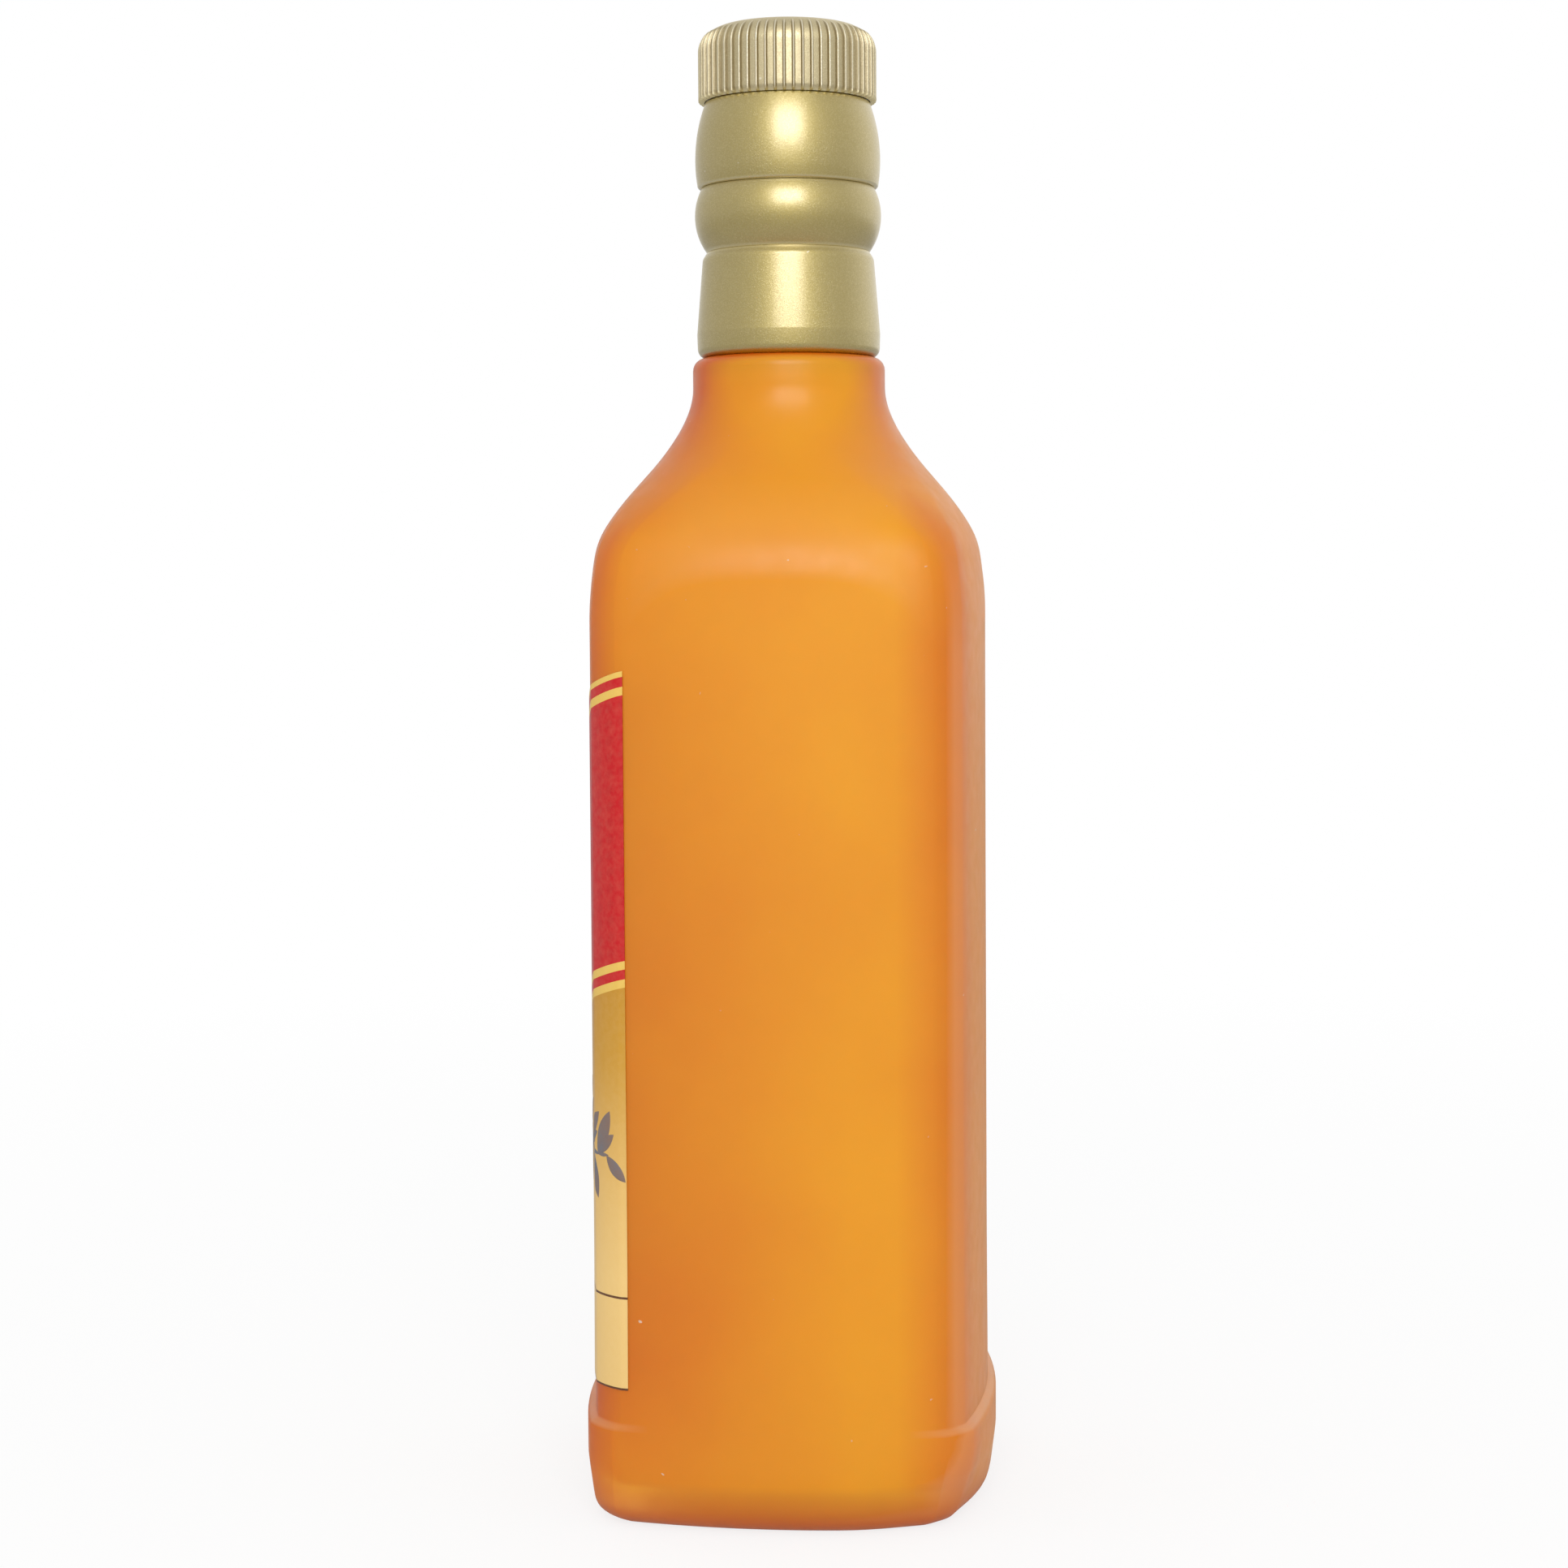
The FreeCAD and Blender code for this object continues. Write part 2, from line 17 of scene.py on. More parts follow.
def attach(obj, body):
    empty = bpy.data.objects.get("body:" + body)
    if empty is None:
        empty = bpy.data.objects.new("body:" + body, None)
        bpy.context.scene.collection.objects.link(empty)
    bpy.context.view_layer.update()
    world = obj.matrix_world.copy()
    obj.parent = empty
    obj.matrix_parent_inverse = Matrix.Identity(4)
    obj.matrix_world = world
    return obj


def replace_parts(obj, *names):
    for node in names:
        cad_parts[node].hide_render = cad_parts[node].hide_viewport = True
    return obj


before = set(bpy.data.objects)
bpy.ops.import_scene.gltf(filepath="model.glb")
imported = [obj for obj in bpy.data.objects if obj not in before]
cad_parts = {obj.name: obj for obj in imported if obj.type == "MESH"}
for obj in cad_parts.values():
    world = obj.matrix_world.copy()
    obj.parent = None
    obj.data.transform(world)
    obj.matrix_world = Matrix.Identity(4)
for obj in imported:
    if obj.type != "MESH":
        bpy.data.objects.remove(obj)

LOG = logging.getLogger("oil_bottle")
MM = 0.001
FACE_STEPS = 20
CORNER_STEPS = 14
TURNED_STEPS = 160
CORNER_FLAT = 0.6
SHARP_ANGLE = 38.0
TOUCH = 0.01

Point = tuple[float, float]
Corner = tuple[float, float, float]
Shape = list[Point]
Colour = tuple[float, float, float]
Stop = tuple[float, tuple[float, ...]]
Faces = list[list[int]]
Material = bpy.types.Material
Piece = bpy.types.Object
Socket = bpy.types.NodeSocket
Inputs = dict[int | str, object]
Outputs = bpy.types.NodeOutputs


class Ends(Enum):
    """How a swept skin closes."""

    POLES = "poles"
    LOOP = "loop"


class Blend(Enum):
    """How a colour ramp passes from stop to stop."""

    EVEN = "LINEAR"
    HARD = "CONSTANT"


def srgb(red: float, green: float, blue: float) -> Colour:
    """Turns a display colour, each part 0 to 255, into the linear one that shaders take."""
    parts = [value / 255.0 for value in (red, green, blue)]
    return tuple(p / 12.92 if p <= 0.04045 else ((p + 0.055) / 1.055) ** 2.4 for p in parts)


def smooth(value: np.ndarray | float, low: float, high: float) -> np.ndarray | float:
    """Rises smoothly from 0, where a value or each of many is at low, to 1, where it is at high."""
    share = np.clip((value - low) / (high - low), 0.0, 1.0)
    return share * share * (3.0 - 2.0 * share)


def rounded(corners: list[Corner], steps: int = 6) -> Shape:
    """Rounds the corners of an open chain.

    Args:
        corners: Radius, height and rounding of each corner.
        steps: Pieces that each rounding is split into.

    Returns:
        The points of the rounded chain.
    """
    chain: Shape = [corners[0][:2]]
    for before, corner, after in zip(corners, corners[1:], corners[2:]):
        here = Vector(corner[:2])
        back = (Vector(before[:2]) - here).normalized()
        ahead = (Vector(after[:2]) - here).normalized()
        if corner[2] <= 0.0:
            chain.append(corner[:2])
            continue
        half = back.angle(ahead) / 2.0
        middle = here + (back + ahead).normalized() * (corner[2] / math.sin(half))
        start = here + back * (corner[2] / math.tan(half)) - middle
        turn = start.angle_signed(here + ahead * (corner[2] / math.tan(half)) - middle)
        for step in range(steps + 1):
            spoke = start.copy()
            spoke.rotate(Matrix.Rotation(-turn * step / steps, 2))
            chain.append((middle.x + spoke.x, middle.y + spoke.y))
    chain.append(corners[-1][:2])
    return chain


def bulged(foot: Point, belly: Point, top: Point, steps: int = 22) -> Shape:
    """Draws the arc through three points of a turned profile.

    Args:
        foot: Radius and height of the lower end.
        belly: Radius and height of a point between the ends.
        top: Radius and height of the upper end.
        steps: Pieces that the arc is split into.

    Returns:
        The points of the arc, from foot to top.
    """
    rows = np.array([foot, belly, top])
    sides = 2.0 * (rows[1:] - rows[0])
    squares = (rows[1:] ** 2).sum(1) - (rows[0] ** 2).sum()
    middle = np.linalg.solve(sides, squares)
    reach = float(np.linalg.norm(rows[0] - middle))
    start, end = (math.atan2(*(row - middle)[::-1]) for row in (rows[0], rows[2]))
    angles = np.linspace(start, end, steps + 1)
    return [(middle[0] + reach * math.cos(a), middle[1] + reach * math.sin(a)) for a in angles]


def closed(rings: list[np.ndarray], ends: Ends) -> tuple[np.ndarray, Faces]:
    """Joins rings of points to a closed skin.

    Args:
        rings: Rings of equally many points, in millimetres.
        ends: Whether the first and last ring shrink to a point or join each other.

    Returns:
        The points in metres, and the point numbers of each face.
    """
    grid = np.stack(rings) * MM
    poles = ends is Ends.POLES
    kept = grid[1:-1] if poles else grid
    rows, columns = kept.shape[:2]
    points = kept.reshape(-1, 3)
    numbers = np.arange(rows if poles else rows + 1) % rows
    index = numbers[:, None] * columns + np.arange(columns)
    beside = np.roll(index, -1, axis=1)
    faces = np.stack([index[:-1], beside[:-1], beside[1:], index[1:]], axis=-1).reshape(-1, 4).tolist()
    if poles:
        low, high = len(points), len(points) + 1
        points = np.concatenate([points, grid[0].mean(0)[None], grid[-1].mean(0)[None]])
        faces += [[low, b, a] for a, b in zip(index[0].tolist(), beside[0].tolist())]
        faces += [[high, a, b] for a, b in zip(index[-1].tolist(), beside[-1].tolist())]
    return points, faces


def mesh_object(name: str, points: np.ndarray, faces: Faces, crease: float = SHARP_ANGLE) -> Piece:
    """Makes a mesh object whose faces all look outwards.

    Args:
        name: Name of the new object.
        points: Points in metres.
        faces: Point numbers of each face.
        crease: Angle in degrees above which an edge is shaded sharp.

    Returns:
        The new object, linked into the scene.
    """
    mesh = bpy.data.meshes.new(name)
    mesh.from_pydata(points.tolist(), [], faces)
    work = bmesh.new()
    work.from_mesh(mesh)
    bmesh.ops.recalc_face_normals(work, faces=work.faces)
    work.to_mesh(mesh)
    work.free()
    mesh.polygons.foreach_set("use_smooth", [True] * len(mesh.polygons))
    mesh.set_sharp_from_angle(angle=math.radians(crease))
    obj = bpy.data.objects.new(name, mesh)
    bpy.context.scene.collection.objects.link(obj)
    return obj


def turned(name: str, profile: Shape) -> Piece:
    """Turns a closed profile about the upright axis.

    Args:
        name: Name of the new object.
        profile: Radius and height of each point.

    Returns:
        The new object.
    """
    angles = np.linspace(0.0, 2.0 * math.pi, TURNED_STEPS, endpoint=False)
    spokes = np.stack([np.cos(angles), np.sin(angles), np.zeros(TURNED_STEPS)], axis=1)
    rings = [spokes * radius + (0.0, 0.0, height) for radius, height in profile]
    return mesh_object(name, *closed(rings, Ends.LOOP))


def dress(obj: Piece, material: Material) -> None:
    """Gives a piece its one material.

    Args:
        obj: The piece.
        material: The material that it shows.
    """
    obj.data.materials.clear()
    obj.data.materials.append(material)


@dataclass(frozen=True)
class Section:
    """A square plan with bulged sides and rounded corners that are flattened a little."""

    half_x: float
    half_y: float
    face: float
    corner: float

    def grown(self, depth: float) -> "Section":
        """Moves the whole outline outwards by a depth."""
        return Section(*(size + depth for size in astuple(self)))

    def mixed(self, other: "Section", share: float) -> "Section":
        """Goes a share of the way, 0 to 1, from this outline to another one."""
        return Section(*(a + (b - a) * share for a, b in zip(astuple(self), astuple(other))))

    def points(self, face_steps: int = FACE_STEPS, corner_steps: int = CORNER_STEPS) -> np.ndarray:
        """Walks round the outline from the end of the side at +X that is nearer to -Y.

        Args:
            face_steps: Points along each side.
            corner_steps: Points along each corner.

        Returns:
            Points of the outline, one row each.
        """
        across, up = self.half_x - self.face, self.half_y - self.face
        gap = math.hypot(across, up)
        reach = math.sqrt((self.face - self.corner) ** 2 - gap * gap / 4.0)
        mid_x = across / 2.0 - up / gap * reach
        mid_y = up / 2.0 - across / gap * reach
        low = math.atan2(mid_y, mid_x - across)
        high = math.atan2(mid_y - up, mid_x)
        arcs = (
            (across, 0.0, self.face, -low, low, face_steps),
            (mid_x, mid_y, self.corner, low, high, corner_steps),
            (0.0, up, self.face, high, math.pi - high, face_steps),
            (-mid_x, mid_y, self.corner, math.pi - high, math.pi - low, corner_steps),
        )
        flat = CORNER_FLAT * max(0.0, 1.0 - self.corner / min(self.half_x, self.half_y))
        half = []
        for number, (x, y, radius, begin, end, steps) in enumerate(arcs):
            angles = np.linspace(begin, end, steps + 1)
            arc = np.stack([x + radius * np.cos(angles), y + radius * np.sin(angles)], axis=1)
            if number % 2:
                chord = np.linspace(arc[0], arc[-1], steps + 1)
                arc = arc + (chord - arc) * flat
            half.append(arc[:-1])
        front = np.concatenate(half)
        return np.concatenate([front, -front])

    def ring(self, height: float) -> np.ndarray:
        """Puts the outline at a height."""
        outline = self.points()
        return np.column_stack([outline, np.full(len(outline), height)])


def round_angles() -> np.ndarray:
    """Angles of a round ring whose points pair with those of a square outline."""
    eighth = math.pi / 8.0
    steps = (FACE_STEPS, CORNER_STEPS) * 4
    starts = [eighth * (2 * number - 1) for number in range(8)]
    return np.concatenate(
        [np.linspace(start, start + 2 * eighth, count, endpoint=False) for start, count in zip(starts, steps)]
    )


def round_ring(radius: np.ndarray | float, height: float) -> np.ndarray:
    """Makes a ring, of one radius or one for each point, whose points pair with a square outline's."""
    angles = round_angles()
    return np.column_stack([radius * np.cos(angles), radius * np.sin(angles), np.full(len(angles), height)])


@dataclass(frozen=True)
class Fade:
    """A passage from start to end while the value that it reads goes from low to high, held at both ends."""

    low: float
    high: float
    start: float = 0.0
    end: float = 1.0


@dataclass(frozen=True)
class Grain:
    """A noise pattern: its waves per metre, its octaves and the weight of the finer ones."""

    scale: float
    detail: float = 3.0
    rough: float = 0.5


class Graph:
    """A node tree, with short calls that add and join nodes."""

    def __init__(self, owner: Material | bpy.types.World) -> None:
        """Turns on the nodes of a new material or world."""
        owner.use_nodes = True
        self.owner = owner
        self.tree = owner.node_tree

    @classmethod
    def finish(cls, name: str) -> "Graph":
        """Starts a new material, which has one standard surface shader."""
        return cls(bpy.data.materials.new(name))

    def put(self, socket: Socket, value: object) -> None:
        """Links an output to a socket, or sets the socket's value.

        Args:
            socket: The socket.
            value: An output, a number, a vector or a colour.
        """
        if isinstance(value, Socket):
            self.tree.links.new(value, socket)
        elif isinstance(value, tuple) and socket.type == "RGBA":
            socket.default_value = (*value, 1.0)
        else:
            socket.default_value = value

    def set(self, **values: object) -> None:
        """Sets or links the surface shader's own sockets.

        Args:
            values: What each socket gets, its name written with underscores for spaces.
        """
        shader = self.tree.nodes["Principled BSDF"]
        for key, value in values.items():
            self.put(shader.inputs[key.replace("_", " ")], value)

    def node(self, kind: str, inputs: Inputs, **settings: object) -> Outputs:
        """Adds a node.

        Args:
            kind: Type name of the node, without the word that all of them start with.
            inputs: What its sockets get, by number or by name.
            settings: Properties to set on it.

        Returns:
            Its outputs.
        """
        made = self.tree.nodes.new(f"ShaderNode{kind}")
        for key, value in settings.items():
            setattr(made, key, value)
        for key, value in inputs.items():
            self.put(made.inputs[key], value)
        return made.outputs

    def place(self) -> Socket:
        """Gives the point on the piece, in metres at rest."""
        return self.node("TexCoord", {})["Object"]

    def attribute(self, name: str) -> Socket:
        """Gives a vector stored on the mesh."""
        return self.node("Attribute", {}, attribute_name=name)["Vector"]

    def split(self, vector: Socket) -> list[Socket]:
        """Splits a vector into its three parts."""
        return list(self.node("SeparateXYZ", {0: vector}))

    def millimetres(self) -> list[Socket]:
        """Gives the three parts of the point on the piece, in millimetres at rest."""
        return self.split(self.node("VectorMath", {0: self.place(), 1: (MM, MM, MM)}, operation="DIVIDE")[0])

    def noise(self, grain: Grain) -> Socket:
        """Adds a noise pattern, about 0 to 1, over the piece."""
        sizes = {"Scale": grain.scale, "Detail": grain.detail, "Roughness": grain.rough}
        return self.node("TexNoise", sizes | {"Vector": self.place()})[0]

    def flakes(self, scale: float) -> Socket:
        """Adds small cells, so many to a metre, that each hold one random value."""
        return self.split(self.node("TexVoronoi", {"Scale": scale, "Vector": self.place()})["Color"])[0]

    def sum(self, kind: str, first: object, second: object = 0.0) -> Socket:
        """Joins two values or outputs by a named operation."""
        return self.node("Math", {0: first, 1: second}, operation=kind)[0]

    def product(self, first: Socket, *others: object) -> Socket:
        """Multiplies an output by others or by plain values."""
        for other in others:
            first = self.sum("MULTIPLY", first, other)
        return first

    def spread(self, value: Socket, fade: Fade) -> Socket:
        """Reads a fade at a value."""
        return self.node("MapRange", dict(enumerate((value, *astuple(fade)))))[0]

    def mix(self, share: object, first: object, second: object) -> Socket:
        """Mixes two colours; the share is the weight of the second one."""
        return self.node("Mix", {0: share, 6: first, 7: second}, data_type="RGBA")[2]

    def bump(self, height: Socket, strength: float, depth: float, **under: Socket) -> Socket:
        """Bends the normal, or one given as Normal, by a height pattern whose depth is in millimetres."""
        inputs = {"Strength": strength, "Distance": depth * MM, "Height": height}
        return self.node("Bump", inputs | under)[0]

    def ramp(self, value: Socket, stops: list[Stop], blend: Blend) -> Outputs:
        """Adds a colour ramp.

        Args:
            value: Where to read the ramp, 0 to 1.
            stops: Place and colour of each stop; a fourth number is its cover.
            blend: How the ramp passes between stops.

        Returns:
            Its outputs, which are colour and cover.
        """
        made = self.tree.nodes.new("ShaderNodeValToRGB")
        made.color_ramp.interpolation = blend.value
        elements = made.color_ramp.elements
        while len(elements) < len(stops):
            elements.new(1.0)
        for element, (place, colour) in zip(elements, stops):
            element.position = place
            element.color = colour if len(colour) == 4 else (*colour, 1.0)
        self.put(made.inputs[0], value)
        return made.outputs

    def rays(self, plain: float, mirrored: float | Socket, seen: float) -> Socket:
        """Adds a value that differs with the kind of ray.

        Args:
            plain: Value for rays that light a dull surface.
            mirrored: Value for rays off a shiny surface.
            seen: Value for rays from the camera or through glass.

        Returns:
            The value.
        """
        path = self.node("LightPath", {})
        value: float | Socket = plain
        for kind, level in (("Glossy", mirrored), ("Transmission", seen), ("Camera", seen)):
            value = self.node("Mix", {0: path[f"Is {kind} Ray"], 2: value, 3: level})[0]
        return value


@dataclass(frozen=True)
class AmberGlass:
    """Frosted amber glass: part of the light passes through it, blurred; painted shade deepens its colour in
    places, and painted sheen and painted highlights pale it in places.
    """

    bottle: "GlassBottle"
    clear: Colour = srgb(255, 180, 10)
    deep: Colour = srgb(230, 108, 4)
    # deeper colour at the heel: partly the thick glass of the floor, partly painted shade
    heel: Colour = srgb(214, 108, 30)
    # colour of the painted sheen, also used for the painted highlight above the arched creases
    painted_sheen: Colour = srgb(255, 190, 126)
    # colour of the painted highlight line along the boot's top edge
    rim: Colour = srgb(250, 206, 160)
    speck: Colour = srgb(250, 226, 196)
    passing: float = 0.44
    bending: float = 1.48
    gloss: float = 0.4
    # fades of the painted shade at the upright corners, on the label's side and at the rims of the view
    corner_shade_fade: Fade = Fade(0.58, 0.82, 0.0, 0.5)
    label_shade_fade: Fade = Fade(12.0, -30.0, 0.0, 0.66)
    label_shade_foot: Fade = Fade(8.0, 30.0, 0.55, 1.0)
    label_shade_top: Fade = Fade(50.0, 150.0, 1.0, 0.5)
    edge_shade_fade: Fade = Fade(0.2, 0.6)
    edge_shade_neck: Fade = Fade(176.0, 194.0, 0.26, 0.74)
    # fades of the painted highlight above the arched creases
    arch_highlight_start: Fade = Fade(-1.0, 2.0)
    arch_highlight_end: Fade = Fade(3.0, 16.0, 0.18, 0.0)
    arch_highlight_flank: Fade = Fade(0.45, 0.9, 1.0, 0.05)
    # fade of the heel's deeper colour, which is partly painted shade
    heel_fade: Fade = Fade(2.0, 9.0, 1.0, 0.0)
    # fades of the painted sheen on the back half, where the glass turns away from the eye
    sheen_top: Fade = Fade(148.0, 166.0, 1.0, 0.15)
    sheen_back: Fade = Fade(4.0, 20.0, 0.0, 0.4)
    sheen_edge: Fade = Fade(0.21, 0.33)
    # place and fades of the painted highlight line along the boot's top edge
    ledge_highlight_drop: float = 0.6
    ledge_highlight_fade: Fade = Fade(0.3, 0.8, 0.34, 0.0)
    ledge_highlight_side: Fade = Fade(22.0, 32.0)
    cloud: Grain = Grain(24.0, 4.0)
    cloud_fade: Fade = Fade(0.35, 0.75, 0.0, 0.25)
    specks: Grain = Grain(620.0, 2.0, 0.4)
    speck_fade: Fade = Fade(0.78, 0.82)
    rough: Fade = Fade(165.0, 190.0, 0.44, 0.34)
    patches: Grain = Grain(340.0)
    patch_fade: Fade = Fade(0.3, 0.7, -0.04, 0.05)
    frost: Grain = Grain(4200.0, 2.0, 0.6)
    frost_relief: Point = (0.16, 0.05)
    wave: Grain = Grain(34.0, 2.0)
    wave_relief: Point = (0.16, 0.5)

    def painted_shade(self, g: Graph, facing: Socket) -> Socket:
        """Adds painted shade that rises towards the upright corners, on the label's side where the label's
        shadow falls through the glass, and towards the edges of the view.

        Args:
            g: Graph to add it to.
            facing: How far the surface turns away from the eye.

        Returns:
            The value, 0 where the glass looks clearest.
        """
        across, back, up = g.millimetres()
        halves = ((across, self.bottle.side_half), (back, self.bottle.panel_half))
        shares = [g.sum("DIVIDE", g.sum("ABSOLUTE", part), half) for part, half in halves]
        corner = g.spread(g.sum("MINIMUM", *shares), self.corner_shade_fade)
        lower = g.product(g.spread(up, self.label_shade_foot), g.spread(up, self.label_shade_top))
        # painted shade on the label's side, where the label's shadow falls through the glass, stronger low
        # down
        shaded = g.product(g.spread(back, self.label_shade_fade), lower)
        edge = g.product(g.spread(facing, self.edge_shade_fade), g.spread(up, self.edge_shade_neck))
        return g.sum("ADD", g.sum("MAXIMUM", corner, shaded), edge)

    def arch(self, g: Graph) -> Socket:
        """Adds a painted highlight that is high just above the arched creases where the flat panels end.

        Args:
            g: Graph to add it to.

        Returns:
            The value, 0 on the panels.
        """
        across, back, up = g.millimetres()
        sides = [g.sum("ABSOLUTE", part) for part in (across, back)]
        near = g.sum("DIVIDE", g.sum("MINIMUM", *sides), self.bottle.panel_edge)
        fall = g.sum("POWER", g.sum("MINIMUM", near, 1.0), self.bottle.panel_power)
        rises = Fade(0.0, 1.0, *reversed(self.bottle.panel_rise))
        arch = g.product(g.spread(g.sum("GREATER_THAN", *sides), rises), g.sum("SUBTRACT", 1.0, fall))
        above = g.sum("SUBTRACT", g.sum("SUBTRACT", up, self.bottle.body_height), arch)
        band = g.product(g.spread(above, self.arch_highlight_start), g.spread(above, self.arch_highlight_end))
        return g.product(band, g.spread(near, self.arch_highlight_flank))

    def material(self) -> Material:
        """Makes the material."""
        g = Graph.finish("frosted_amber_glass")
        _, back, up = g.millimetres()
        facing = g.node("LayerWeight", {})["Facing"]
        # the tone is the painted shade with random clouding added
        tone = g.sum("ADD", self.painted_shade(g, facing), g.spread(g.noise(self.cloud), self.cloud_fade))
        # deeper colour at the heel: partly the thick glass of the floor, partly painted shade
        heel = g.spread(up, self.heel_fade)
        colour = g.mix(g.spread(tone, Fade(0.0, 1.0)), self.clear, self.deep)
        colour = g.mix(heel, colour, self.heel)
        # painted sheen on the back half of the body, where it turns away from the eye
        body = g.product(g.sum("SUBTRACT", 1.0, heel), g.spread(up, self.sheen_top))
        rear = g.product(body, g.spread(back, self.sheen_back), g.spread(facing, self.sheen_edge))
        colour = g.mix(rear, colour, self.painted_sheen)
        # painted highlight just above the arched creases
        colour = g.mix(self.arch(g), colour, self.painted_sheen)
        # painted highlight line along the boot's top edge
        off = g.sum("ABSOLUTE", g.sum("SUBTRACT", up, self.bottle.boot_height - self.ledge_highlight_drop))
        side = g.spread(g.sum("ABSOLUTE", back), self.ledge_highlight_side)
        colour = g.mix(g.product(g.spread(off, self.ledge_highlight_fade), side), colour, self.rim)
        colour = g.mix(g.spread(g.noise(self.specks), self.speck_fade), colour, self.speck)
        rough = g.sum("ADD", g.spread(g.noise(self.patches), self.patch_fade), g.spread(up, self.rough))
        frost = g.bump(g.noise(self.frost), *self.frost_relief)
        wave = g.bump(g.noise(self.wave), *self.wave_relief, Normal=frost)
        g.set(Base_Color=colour, Roughness=rough, Normal=wave, IOR=self.bending)
        g.set(Transmission_Weight=self.passing, Specular_IOR_Level=self.gloss)
        return g.owner


@dataclass(frozen=True)
class SatinGold:
    """Pearly gold lacquer with fine flakes that glint; painted highlight bands at some heights, and on the
    cap painted shade in the seams beside the ridges and painted highlights on their crests.
    """

    name: str
    base: Colour = srgb(184, 161, 54)
    glint: Colour = srgb(230, 212, 148)
    # heights of the painted highlight bands
    highlight_heights: tuple[float, ...] = ()
    coat: float = 1.0
    coat_rough: float = 0.29
    coat_bending: float = 2.35
    rough: float = 0.48
    rough_fade: Fade = Fade(0.0, 1.0, 0.06, -0.06)
    flake: float = 7600.0
    glint_fade: Fade = Fade(0.5, 1.0, 0.0, 0.3)
    worn: Colour = srgb(150, 130, 78)
    worn_grain: Grain = Grain(140.0, 4.0)
    worn_fade: Fade = Fade(0.45, 0.75, 0.0, 0.05)
    chip: Colour = srgb(236, 226, 200)
    chip_grain: Grain = Grain(520.0, 1.0)
    chip_fade: Fade = Fade(0.80, 0.815)
    # colour and fade of the painted highlight bands, which also lighten the shade in the joints
    highlight_tint: Colour = srgb(250, 238, 190)
    highlight_fade: Fade = Fade(0.2, 0.6, 0.45, 0.0)
    # colours and strengths of the painted seam shade and the painted crest highlight
    seam_shade: Colour = srgb(98, 76, 40)
    seam_shade_share: float = 0.88
    crest_light: Colour = srgb(255, 250, 232)
    crest_light_share: float = 0.85
    grit: float = 4600.0
    grit_relief: Point = (0.36, 0.04)

    def material(self) -> Material:
        """Makes the material."""
        g = Graph.finish(self.name)
        flake = g.flakes(self.flake)
        tone = g.mix(g.spread(flake, self.glint_fade), self.base, self.glint)
        tone = g.mix(g.spread(g.noise(self.worn_grain), self.worn_fade), tone, self.worn)
        tone = g.mix(g.spread(g.noise(self.chip_grain), self.chip_fade), tone, self.chip)
        up = g.millimetres()[2]
        # painted highlight bands at the listed heights
        for height in self.highlight_heights:
            off = g.sum("ABSOLUTE", g.sum("SUBTRACT", up, height))
            tone = g.mix(g.spread(off, self.highlight_fade), tone, self.highlight_tint)
        # painted shade in the seams beside the cap's ridges and painted highlight on their crests
        seam_shade_crest_light = g.split(g.attribute("seam_shade_crest_light"))[0]
        tone = g.mix(g.product(seam_shade_crest_light, self.seam_shade_share), tone, self.seam_shade)
        tone = g.mix(g.product(seam_shade_crest_light, -self.crest_light_share), tone, self.crest_light)
        rough = g.sum("ADD", g.spread(flake, self.rough_fade), self.rough)
        grit = g.bump(g.flakes(self.grit), *self.grit_relief)
        g.set(Base_Color=tone, Metallic=1.0, Roughness=rough, Normal=grit, Coat_Normal=grit)
        g.set(Coat_Weight=self.coat, Coat_Roughness=self.coat_rough, Coat_IOR=self.coat_bending)
        return g.owner


